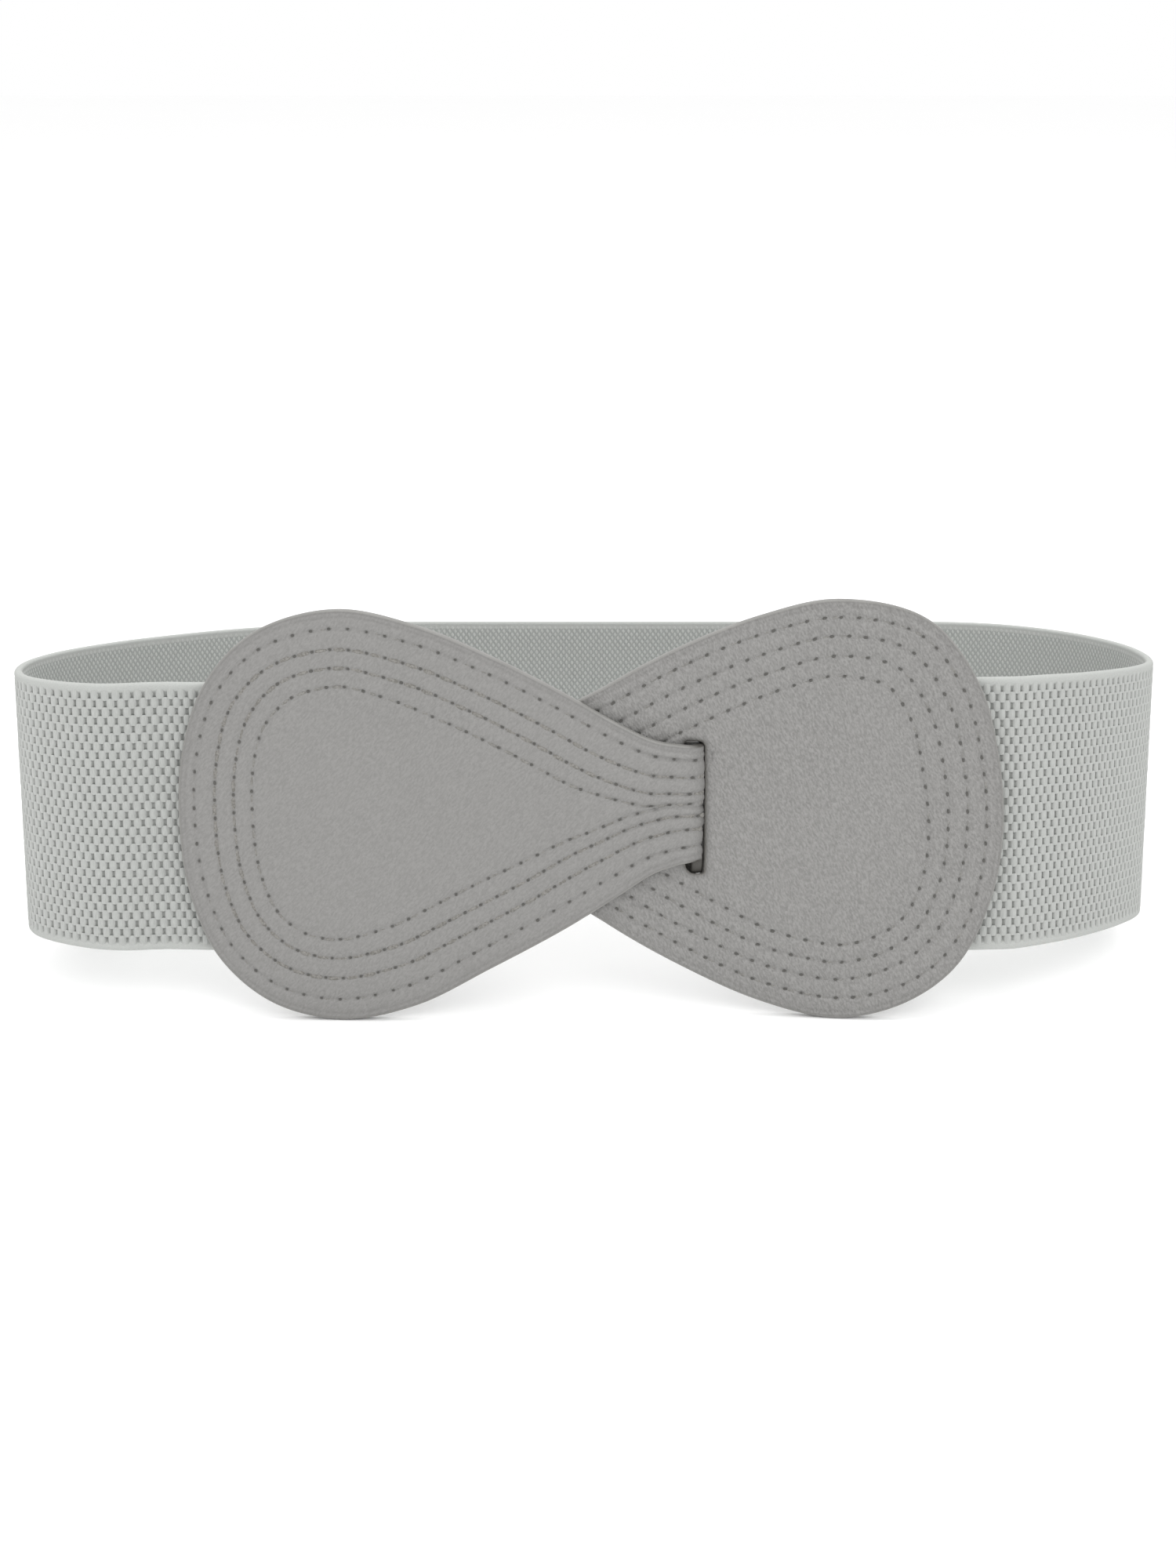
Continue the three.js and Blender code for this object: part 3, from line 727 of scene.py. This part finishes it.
    def holes(self, k):
        """Lengths along row k of its needle holes, and their spacing."""
        length, start = self.stitches[k]
        whole = self.row_path(k)[1][-1]
        count = round(whole / length)
        return (start + np.arange(count) * whole / count) % whole, whole / count

    def relief(self, insets, share):
        """Height and shade of the stitched face over its level, for rings as columns of insets."""
        s, inner = self.edge[:, :1], self.spine[:, :1]
        height, shade = np.zeros((2, *insets.shape))
        rows = [row[:, None] for row in self.insets.T]
        bounds = [CREASE, *rows, rows[-1] + LAST_LANE]
        for k, (low, high) in enumerate(zip(bounds, bounds[1:])):
            across = (insets - low) / (high - low)
            within = (across > 0) & (across <= 1)
            arch = np.sin(math.pi * np.clip(across, 0, 1)) ** SWELL_POWER
            if k == len(self.stitches):
                arch = 1 - np.exp(-np.clip(insets - low, 0, None) / SWELL_REACH)
            height += np.where(within, self.swell(inner) * arch * self.stitched(k, s), 0)
        puckered = PUCKER * (1 + NECK_PUCKER * self.neck(inner))
        for k, (_, start) in enumerate(self.stitches):
            _, along, sewn = self.row_path(k)
            off = insets - rows[k]
            spacing = self.holes(k)[1]
            to_hole = (along[:-1, None] - start + spacing / 2) % spacing - spacing / 2
            groove = bell(off / GROOVE_REACH) * self.stitched(k, s)
            pit = bell(off / PIT_ACROSS, to_hole / PIT_ALONG) * sewn[:-1, None]
            pucker = bell(off / PUCKER_ACROSS, to_hole / PUCKER_ALONG) * sewn[:-1, None]
            height -= GROOVE_DEPTH * groove + PIT_DEPTH * pit + puckered * pucker
            shade = np.maximum(shade, GROOVE_SHADE * groove + PIT_SHADE * pit)
        return height * share, shade

    def face_rings(self, offsets, side, share):
        """One face's rings as marked points, from the edge inwards."""
        profile = np.tile(np.transpose(EDGE_PROFILE)[0], (len(self.edge), 1))
        insets = np.hstack((profile, self.ring_insets(offsets)))
        level = np.interp(insets, *np.transpose(EDGE_LEVEL))
        level[:, 0] = EDGE_PROFILE[0][1]
        height, shade = self.relief(insets, share)
        shade += CREASE_SHADE * bell((insets - CREASE) / CREASE_REACH)
        shade += EDGE_LINE_TONE * bell((insets - EDGE_LINE) / EDGE_LINE_REACH)
        columns = zip(insets.T, side * (level + height).T, shade.T, (insets < EDGE_PAINT).T)
        return [marked(self.at_inset(inset), *values) for inset, *values in columns]


def cap_mesh(loop, hole):
    """Flat triangles between a ring and a hole: extra points, and triangles over all three sets."""
    spans = zip(loop.min(axis=0), loop.max(axis=0))
    extra = np.reshape(np.meshgrid(*(np.arange(*span, CAP_STEP) for span in spans)), (2, -1)).T
    extra = extra[inside(extra, loop)]
    borders = np.vstack((loop, hole))
    clear = nearest(extra, borders)[1] > CAP_CLEAR
    extra = extra[clear & ~inside(extra, hole)]
    points = np.vstack((borders, extra))
    n, m = len(loop), len(hole)
    edges = [(i, (i + 1) % n) for i in range(n)] + [(n + i, n + (i + 1) % m) for i in range(m)]
    found = delaunay_2d_cdt([Vector(p) for p in points.tolist()], edges, [], 1, CAP_PRECISION)
    names = [given[0] for given in found[3]]
    triangles = np.array([[names[i] for i in face] for face in found[2]])
    centres = points[triangles].mean(axis=1)
    return extra, triangles[inside(centres, loop) & ~inside(centres, hole)]


def cap_depth(extra, border, lip, swell):
    """Depth of a face inside its last ring: it runs on from the ring and eases down to the hole."""
    at_border, from_border = nearest(extra, border[:, :2])
    _, from_lip = nearest(extra, lip[:, :2])
    start = np.abs(border[at_border, 2]) - LEATHER / 2
    height = swell + (start - swell) * np.exp(-from_border / SWELL_REACH)
    return LEATHER / 2 + height * (1 - np.exp(-from_lip / LIP_REACH))


def leather_piece(name, paddle, hole_loop, wall):
    """The whole leather of a paddle: both faces, the rounded edge, and the hole's wall."""
    front = paddle.face_rings(FRONT_OFFSETS, 1, 1)
    rings = [*front[::-1], marked(paddle.edge, 0, paint=1), *paddle.face_rings(BACK_OFFSETS, -1, BACK_SHARE)]
    # The bare cut wall is darker, partly its own colour and partly painted shade of the gap; the lips get
    # painted shade
    cuts = [marked(hole_loop(grow, rear), depth, tone=LIP_SHADE * bell(grow / LIP_SHADE_REACH),
                   raw=abs(depth) < BARE_SHADE_DEPTH) for grow, depth, rear in wall]
    count, size = len(paddle.edge), len(cuts[0])
    cuts_from = len(rings) * count
    total = cuts_from + len(cuts) * size
    points = [*rings, *cuts]
    faces = [grid_quads(len(rings), count, closed=True)[:, ::-1],
             cuts_from + grid_quads(len(cuts), size, closed=True)]
    for side, ring, cut, share in ((1, 0, 0, 1), (-1, len(rings) - 1, len(cuts) - 1, BACK_SHARE)):
        border, lip = rings[ring], cuts[cut]
        extra, triangles = cap_mesh(border[:, :2], lip[:, :2])
        depth = side * cap_depth(extra, border, lip, share * paddle.swell(extra[:, 0]))
        numbers = np.concatenate((ring * count + np.arange(count), cuts_from + cut * size + np.arange(size),
                                  total + np.arange(len(extra))))
        faces.append(numbers[triangles][:, ::side])
        points.append(marked(extra, depth))
        total += len(extra)
    s, z, depth, tone, paint, raw = np.vstack(points).T
    # The points carry painted shade where sunk, the bare walls' colour with painted shade, and painted shade
    # in the fold
    return build_mesh(name, placed(paddle.sheet(s, z), z, depth), *faces, sunk=tone, paint=paint, raw=raw,
                      worn=paddle.worn(s, z, paint))


def row_stitches(paddle, k, side, full):
    """Centre lines of row k's stitches on one face as flat points, and the holes at their starts."""
    path, along, sewn = paddle.row_path(k)
    holes, spacing = paddle.holes(k)
    t = np.linspace(0, 1, THREAD_STEPS + 1)
    at = (holes[:, None] + spacing * (THREAD_FROM + (THREAD_SHORT + THREAD_MORE * full) * t)) % along[-1]
    kept = np.interp(at, along, sewn.astype(float)).min(axis=1) > 0.5
    at, holes = at[kept], holes[kept]
    s, z = along_path(at, along, path)
    heading = np.arctan2(z[:, -1] - z[:, 0], s[:, -1] - s[:, 0])[:, None]
    uneven = np.random.default_rng(STITCH_SEED + k).uniform(-1, 1, (3, len(s), 1))
    aside = UNEVEN_ACROSS * uneven[0] + THREAD_SLANT * (2 * t - 1) * (1 + uneven[1])
    share = BACK_SHARE if side < 0 else 1
    sunk = THREAD_HIGH - THREAD_TOP + THREAD_SINK * (1 - full) + GROOVE_DEPTH * (share - 1)
    sunk = sunk + THREAD_DIVE * np.abs(2 * t - 1) ** DIVE_POWER
    depth = side * (LEATHER / 2 - sunk - UNEVEN_DEPTH * uneven[2])
    return stacked(s - aside * np.sin(heading), z + aside * np.cos(heading), depth), holes


def unit(vectors):
    return vectors / np.linalg.norm(vectors, axis=-1, keepdims=True)


def tubes(lines, sheet, full):
    """Short flattened threads along flat centre lines, tapered at both ends."""
    count, steps = lines.shape[:2]
    station = sheet(lines[..., 0], lines[..., 1])
    centre = placed(station, lines[..., 1], lines[..., 2])
    out = stacked(station.out_x, station.out_y, 0)
    tangent = unit(np.gradient(centre, axis=1))
    across = unit(np.cross(tangent, out))
    up = np.cross(across, tangent)
    turn = np.arange(THREAD_SIDES) * 2 * math.pi / THREAD_SIDES
    uneven = 1 + UNEVEN_SIZE * np.random.default_rng(THREAD_SEED).uniform(-1, 1, (count, steps))
    taper = np.sqrt(1 - THREAD_TAPER * np.linspace(-1, 1, steps) ** TAPER_POWER)
    girth = uneven * (THREAD_THIN + THREAD_SWELL * full) * taper
    wide = across[:, :, None] * THREAD_WIDE * np.cos(turn)[:, None]
    high = up[:, :, None] * THREAD_HIGH * np.sin(turn)[:, None]
    points = centre[:, :, None] + (wide + high) * girth[:, :, None, None]
    patch = grid_quads(steps, THREAD_SIDES, closed=True)[:, ::-1]
    around = np.arange(THREAD_SIDES)
    ends = np.array([around, (steps - 1) * THREAD_SIDES + around[::-1]])
    size = steps * THREAD_SIDES
    return points.reshape(-1, 3), many(patch, size, count), many(ends, size, count)


def hole_cups(paddle, k, starts, shape):
    """Small cups in the leather where the needle went through, coloured dark as painted shade of the holes.
    """
    path, along, _ = paddle.row_path(k)
    uneven = np.random.default_rng(HOLE_SEED + k).uniform(-1, 1, (5, len(starts)))
    starts = (starts + UNEVEN_ALONG * uneven[0]) % along[-1]
    s, z = along_path(starts, along, path)
    s_ahead, z_ahead = along_path((starts + HOLE_AHEAD) % along[-1], along, path)
    heading = np.arctan2(z_ahead - z, s_ahead - s)
    centre = s + 1j * z + 1j * UNEVEN_ACROSS * uneven[1] * np.exp(1j * heading)
    heading += math.radians(shape[2]) * (1 + uneven[2])
    long, wide = (half * (1 + UNEVEN_SIZE * amount[:, None]) for half, amount in zip(shape, uneven[3:]))
    turn = np.arange(HOLE_SIDES) * 2 * math.pi / HOLE_SIDES
    oval = (long * np.cos(turn) + 1j * wide * np.sin(turn)) * np.exp(1j * heading)[:, None]
    bed = LEATHER / 2 - GROOVE_DEPTH - HOLE_BED
    rings = []
    for grow, rise in HOLE_RINGS:
        ring = centre[:, None] + grow * oval[:, :HOLE_SIDES if grow else 1]
        rings.append(stacked(ring.real, ring.imag, bed + rise))
    flat = np.concatenate(rings, axis=1)
    size = flat.shape[1]
    s, z, depth = flat.reshape(-1, 3).T
    around = HOLE_SIDES + np.arange(HOLE_SIDES)
    fan = np.column_stack((around, np.roll(around, -1), np.full(HOLE_SIDES, size - 1)))
    quads = grid_quads(2, HOLE_SIDES, closed=True)
    return placed(paddle.sheet(s, z), z, depth), many(quads, size, len(starts)), many(fan, size, len(starts))


def joined(name, parts, **attributes):
    """One mesh object from several (points, faces, more faces) parts, with a number for each part."""
    sizes = [len(points) for points, *_ in parts]
    starts = np.cumsum([0] + sizes)
    faces = [group + start for start, (_, *groups) in zip(starts, parts) for group in groups]
    spread = {key: np.repeat(values, sizes) for key, values in attributes.items()}
    return build_mesh(name, np.vstack([points for points, *_ in parts]), *faces, **spread)


def paddle_pieces(name, paddle, hole_loop, wall, show, hole, grain):
    """Leather, threads and needle holes of a paddle, each one mesh."""
    leather = leather_piece(name + "_leather", paddle, hole_loop, wall)
    place_piece(leather, name + "_paddle", leather_look("belt_" + name + "_leather", *grain))
    threads, cups = [], []
    for side in (1, -1):
        for k, full in enumerate(show):
            lines, starts = row_stitches(paddle, k, side, full)
            threads.append(tubes(lines, paddle.sheet, full))
            if side > 0:
                cups.append(hole_cups(paddle, k, starts, hole))
    stitches = joined(name + "_stitches", threads, show=show * 2)
    place_piece(stitches, name + "_paddle", THREAD_MATERIAL)
    # The needle-hole cups carry painted shade
    place_piece(joined(name + "_needle_holes", cups), name + "_paddle", HOLE_SHADE_MATERIAL)


# Elastic band

def band_core(band):
    """The band's body: a plain ground with a rounded selvage along both edges."""
    lower = [(-z, depth) for z, depth in reversed(SELVAGE)]
    z, depth = np.array([*SELVAGE, *lower]).T
    u = np.linspace(0, band.length, round(band.length / BAND_STEP) + 1)
    selvage = np.abs(z) > SELVAGE_FROM
    inner = ~selvage & (depth < INNER_FROM)
    rows, count = len(u), len(z)
    ends = [np.arange(count)[::-1], (rows - 1) * count + np.arange(count)]
    return build_mesh("elastic_ground", placed(band.at(u[:, None]), z, depth),
                      grid_quads(rows, count, closed=True), ends, cloth=stacked(u[:, None], z, 0),
                      selvage=np.tile(selvage, rows), inner=np.tile(inner, rows))


def weave_columns(band):
    """Lengths along the band of the weave's columns, closer or wider as the band is stretched."""
    u = np.arange(0, band.length, COLUMN_STEP)
    left = np.interp(u, *np.transpose(LEFT_STRETCH))
    right = np.interp(band.length - u, *np.transpose(RIGHT_STRETCH))
    number = np.cumsum(COLUMN_STEP / np.where(u < band.length / 2, left, right))
    return np.interp(np.arange(1, number[-1] - COLUMN_MARGIN), number, u)


def pad_field(name, band, columns, face):
    """Raised pads of the woven or knitted face, in columns at these lengths along the band."""
    a, b = (grid.ravel() for grid in np.meshgrid(face.across, face.down, indexing="ij"))
    patch = grid_quads(len(face.across), len(face.down))
    if face.rise < 0:
        patch = patch[:, ::-1]
    rows = np.arange(face.rows)
    pitch = np.gradient(columns)[:, None]
    u = columns[:, None] + pitch * 0.5 * (rows % 2)
    z = (rows - (face.rows - 1) / 2) * face.row_pitch
    grids = np.broadcast_arrays(u, z, 0.5 * face.width * pitch)
    u, z, wide = (grid.reshape(-1, 1) for grid in grids)
    jitter = np.random.default_rng(PAD_SEED).uniform(-1, 1, (3, u.size, 1))
    jitter *= np.reshape(PAD_UNEVEN, (3, 1, 1))
    at_u = u + jitter[0] + wide * a * (1 - face.round_a * b * b)
    at_z = z + jitter[1] + 0.5 * face.height * b * (1 - face.round_b * a * a)
    dome = np.sqrt(1 - np.abs(a) ** face.flat) * (1 - face.drop * np.abs(b) ** 3)
    depth = face.ground + face.rise * (1 + jitter[2]) * dome
    return build_mesh(name, placed(band.at(at_u), at_z, depth), many(patch, len(a), len(u)),
                      cloth=stacked(at_u, at_z, dome))


# Materials

def linear(*color):
    """Linear colour from sRGB numbers between 11 and 255."""
    return (*(((part / 255 + 0.055) / 1.055) ** 2.4 for part in color), 1)


class Look:
    """A Principled material with short calls to add its nodes."""

    def __init__(self, name, roughness, **sockets):
        self.material = bpy.data.materials.new(name)
        self.material.use_nodes = True
        self.tree = self.material.node_tree
        self.shader = self.tree.nodes["Principled BSDF"]
        for key, value in {"Roughness": roughness, **sockets}.items():
            self.shader.inputs[key.replace("_", " ")].default_value = value

    def add(self, kind, output, inputs=None, **settings):
        """One output of a new node."""
        node = self.tree.nodes.new("ShaderNode" + kind)
        for key, value in settings.items():
            setattr(node, key, value)
        for key, value in (inputs or {}).items():
            if isinstance(value, bpy.types.NodeSocket):
                self.tree.links.new(value, node.inputs[key])
            else:
                node.inputs[key].default_value = value
        return node.outputs[output]

    def place(self):
        return self.add("TexCoord", "Object")

    def on_cloth(self, *stretch):
        """Coordinates along and up the cloth, stretched."""
        cloth = self.add("Attribute", "Vector", attribute_name="cloth")
        return self.add("Mapping", "Vector", {"Vector": cloth, "Scale": stretch})

    def noise(self, where, scale, detail=3):
        return self.add("TexNoise", "Fac", {"Vector": where, "Scale": scale, "Detail": detail})

    def ranged(self, value, low=0.35, high=0.65, to=(0, 1)):
        """The value's stretch from low to high, spread over another range."""
        inputs = {"Value": value, "From Min": low, "From Max": high, "To Min": to[0], "To Max": to[1]}
        return self.add("MapRange", "Result", inputs)

    def point(self, attribute):
        return self.add("Attribute", "Fac", attribute_name=attribute)

    def scaled(self, value, factor):
        return self.add("Math", 0, {0: value, 1: factor}, operation="MULTIPLY")

    def blend(self, share, *ends):
        """A share between two ends, each a socket or a colour as sRGB numbers."""
        a, b = (end if isinstance(end, bpy.types.NodeSocket) else linear(*end) for end in ends)
        return self.add("Mix", 2, {0: share, 6: a, 7: b}, data_type="RGBA")

    def done(self, color, *bumps):
        """The material in a colour, with bumps of (height, distance in metres), the finest last."""
        self.tree.links.new(color, self.shader.inputs["Base Color"])
        normal = None
        for height, distance in bumps:
            inputs = {"Height": height, "Distance": distance, "Strength": 1}
            if normal is not None:
                inputs["Normal"] = normal
            normal = self.add("Bump", "Normal", inputs)
            self.tree.links.new(normal, self.shader.inputs["Normal"])
        return self.material


# Colours as sRGB numbers up to 255, the darker before the lighter
LEATHER_TONES = (100, 99, 97), (152, 151, 149)
PAINT_TONES = (127, 126, 123), (136, 135, 132)
# Painted shade of grooves, needle pits, creases and hole lips, and of the darker edge line
RECESS_SHADE_TONE = (94, 93, 90)
# Painted shade inside the fold
FOLD_SHADE_TONE = (78, 76, 72)
# Bare cut walls: darker, partly their own colour and partly painted shade of the gaps
BARE_SHADE_TONE = (120, 118, 114)
PLAIN_THREAD = (116, 115, 112), (132, 131, 128)
FULL_THREAD = (104, 102, 97), (134, 132, 128)
# Painted shade in the needle holes
NEEDLE_HOLE_SHADE = (86, 85, 82), (100, 99, 96)
# Ground seen between the pads: darker as painted shade of the slots
GROUND_SHADE_TONES = (136, 138, 135), (150, 152, 149)
# Inner face: lighter as painted light that makes up for the shade inside the band
INNER_LIGHT_TONES = (154, 157, 154), (166, 169, 166)
SELVAGE_TONES = (171, 173, 170), (183, 185, 182)
YARN_TONES = (162, 164, 161), (176, 178, 175)
# Inner knit: lighter as painted light that makes up for the shade inside the band
KNIT_LIGHT_TONES = (178, 180, 177), (190, 192, 189)
METAL_TONES = (150, 150, 148), (186, 186, 183)
PAPER_TONES = (253, 253, 253), (254, 254, 254)
# Size of the leather's creases in metres, across them twice and along them
CREASE_SIZE = (1 / 2500, 1 / 2500, 1 / 1050)
# How far the leather's pebbles, cloudiness and painted shade of its sunk lines show, and the yarn's soft
# patches
PEBBLE_SHARE = 0.3
CLOUD_SHARE = 0.06
RECESS_SHADE_SHARE = 0.8
SOFT_SHARE = 0.3


def leather_look(name, tilt, depth):
    """Faux leather with fine creases that lean by a tilt, with painted shade where sunk, in the fold and on
    its bare cut walls.
    """
    look = Look(name, roughness=0.5, Specular_IOR_Level=0.45)
    where = look.place()
    tilted = {"Vector": where, "Rotation": (0, math.radians(tilt), 0), "Scale": CREASE_SIZE}
    creases = look.noise(look.add("Mapping", "Vector", tilted, vector_type="TEXTURE"), 1, detail=2)
    grain = look.blend(PEBBLE_SHARE, look.ranged(creases), look.ranged(look.noise(where, 2400)))
    cloudy = look.ranged(look.noise(where, 28, detail=2))
    tone = look.ranged(grain, 0, 1, to=(0.5 - 0.5 * depth, 0.5 + 0.5 * depth))
    base = look.blend(tone, *LEATHER_TONES)
    base = look.blend(look.scaled(cloudy, CLOUD_SHARE), base, LEATHER_TONES[1])
    paint = look.blend(look.ranged(look.noise(where, 160), 0.3, 0.7), *PAINT_TONES)
    base = look.blend(look.point("paint"), base, paint)
    # Painted shade where the leather is sunk, and the darker edge line
    base = look.blend(look.scaled(look.point("sunk"), RECESS_SHADE_SHARE), base, RECESS_SHADE_TONE)
    # Painted shade inside the fold, on its edge and lower side
    base = look.blend(look.point("worn"), base, FOLD_SHADE_TONE)
    # Bare cut walls, darkened partly as painted shade of the gaps
    base = look.blend(look.point("raw"), base, BARE_SHADE_TONE)
    return look.done(base, (look.noise(where, 90, detail=2), 0.00025), (grain, 0.00016 * depth))


def thread_look():
    look = Look("belt_thread", roughness=0.75, Sheen_Weight=0.15)
    where = look.place()
    mottle = look.ranged(look.noise(where, 2200, detail=2))
    plain, full = (look.blend(mottle, *tones) for tones in (PLAIN_THREAD, FULL_THREAD))
    color = look.blend(look.point("show"), plain, full)
    return look.done(color, (look.noise(where, 2600, detail=2), 0.00008))


def matt_look(name, scale, tones):
    look = Look(name, roughness=0.9, Specular_IOR_Level=0.1)
    return look.done(look.blend(look.noise(look.place(), scale), *tones))


def yarn_look(name, tones):
    """Fine upright filaments along the cloth."""
    look = Look(name, roughness=0.85, Sheen_Weight=0.25, Sheen_Roughness=0.6, Specular_IOR_Level=0.2)
    fibres = look.noise(look.on_cloth(6, 0.7, 1), 1, detail=2)
    soft = look.noise(look.on_cloth(0.5, 0.5, 0), 1)
    tone = look.blend(look.ranged(fibres, 0.3, 0.7), *tones)
    shaded = look.scaled(look.ranged(soft, 0.35, 0.7), SOFT_SHARE)
    return look.done(look.blend(shaded, tone, tones[0]), (fibres, 0.00012))


def ground_look():
    look = Look("belt_elastic_ground", roughness=0.9, Specular_IOR_Level=0.15)
    ribs = look.noise(look.on_cloth(2.4, 9, 1), 1, detail=2)
    # The ground between the pads gets painted shade, and the inner face painted light
    ground, inner, selvage = (look.blend(look.ranged(ribs, 0.3, 0.7), *tones)
                              for tones in (GROUND_SHADE_TONES, INNER_LIGHT_TONES, SELVAGE_TONES))
    base = look.blend(look.point("inner"), ground, inner)
    return look.done(look.blend(look.point("selvage"), base, selvage), (ribs, 0.00012))


def metal_look():
    look = Look("belt_stud_metal", roughness=0.3, Metallic=1)
    color = look.blend(look.noise(look.place(), 600, detail=4), *METAL_TONES)
    return look.done(color, (look.noise(look.place(), 2600, detail=2), 0.00001))


# Camera, light and floor

EYE = (0, -463.563, 105.509)
PITCH = 11.9
LENS = 50
FLOOR_SIZE = 9
# Lights as (name, place, target, size in metres, watts)
LIGHTS = (
    ("key", (0.5, -0.9, 1.1), (0, 0, 0.04), 0.9, 4),
    ("fill", (-0.9, -0.6, 0.7), (0, 0, 0.04), 0.8, 1.5),
    ("top", (0, 0.2, 1.4), (0, 0, 0), 1.2, 8),
)


def make_camera():
    """The photograph's view, from a little above the belt's top and looking down on it."""
    data = bpy.data.cameras.new("camera")
    data.lens = LENS
    data.clip_start = 0.01
    camera = linked("camera", data)
    camera.location = Vector(to_row(np.array([EYE]))[0].tolist())
    camera.rotation_euler = (math.radians(90 - PITCH) - LEAN, 0, 0)
    bpy.context.scene.camera = camera


def make_floor():
    half = FLOOR_SIZE / 2
    mesh = bpy.data.meshes.new("floor")
    corners = [(-half, -half, 0), (half, -half, 0), (half, half, 0), (-half, half, 0)]
    mesh.from_pydata(corners, [], [(0, 1, 2, 3)])
    mesh.materials.append(matt_look("floor_paper", 3, PAPER_TONES))
    linked("floor", mesh)


def area_light(name, place, target, size, power):
    data = bpy.data.lights.new(name, "AREA")
    data.shape, data.size, data.energy = "DISK", size, power
    light = linked(name, data)
    light.location = place
    light.rotation_euler = (Vector(target) - Vector(place)).to_track_quat("-Z", "Y").to_euler()


def make_light():
    world = bpy.data.worlds.new("studio")
    world.use_nodes = True
    backdrop = world.node_tree.nodes["Background"].inputs
    backdrop["Color"].default_value = (1, 1, 1, 1)
    backdrop["Strength"].default_value = 1
    bpy.context.scene.world = world
    for light in LIGHTS:
        area_light(*light)
    bpy.context.scene.view_settings.view_transform = "Standard"


THREAD_MATERIAL = thread_look()
# Needle holes coloured dark as painted shade
HOLE_SHADE_MATERIAL = matt_look("belt_needle_hole_shade", 1200, NEEDLE_HOLE_SHADE)
make_camera()
make_floor()
make_light()

# Tilt of each paddle's creases and depth of its grain
TONGUE_GRAIN = (40, 0.28)
SLOTTED_GRAIN = (-25, 0.52)
tongue = Paddle(left_sheet, left_loop(), LEFT_SPINE, LEFT_HEAD, LEFT_ROWS, LEFT_STITCHES,
                stud_hole_loop(STUD_ROOM))
paddle_pieces("tongue", tongue, stud_hole_loop, STUD_WALL, LEFT_SHOW, LEFT_HOLE, TONGUE_GRAIN)
slotted = Paddle(right_sheet, right_loop(), RIGHT_SPINE, RIGHT_HEAD, RIGHT_ROWS, RIGHT_STITCHES,
                 slot_loop(SLOT_ROOM))
paddle_pieces("slotted", slotted, slot_loop, SLOT_WALL, RIGHT_SHOW, RIGHT_HOLE, SLOTTED_GRAIN)

band = Band()
place_piece(band_core(band), "elastic_band", ground_look())
knit_columns = np.arange(KNIT_MARGIN, band.length - KNIT_MARGIN, KNIT_PITCH)
yarn = yarn_look("belt_elastic_yarn", YARN_TONES)
# The knit's colour holds painted light
knit = yarn_look("belt_elastic_knit", KNIT_LIGHT_TONES)
for kind, parts, columns, face, material in (
    ("weave", ("left", "rear", "right"), weave_columns(band), WOVEN, yarn),
    ("knit", ("left", "right"), knit_columns, KNITTED, knit),
):
    for part, share in zip(parts, np.array_split(columns, len(parts))):
        place_piece(pad_field(kind + "_" + part, band, share, face), "elastic_band", material)
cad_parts["press_stud"].data.materials.clear()
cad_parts["press_stud"].data.materials.append(metal_look())
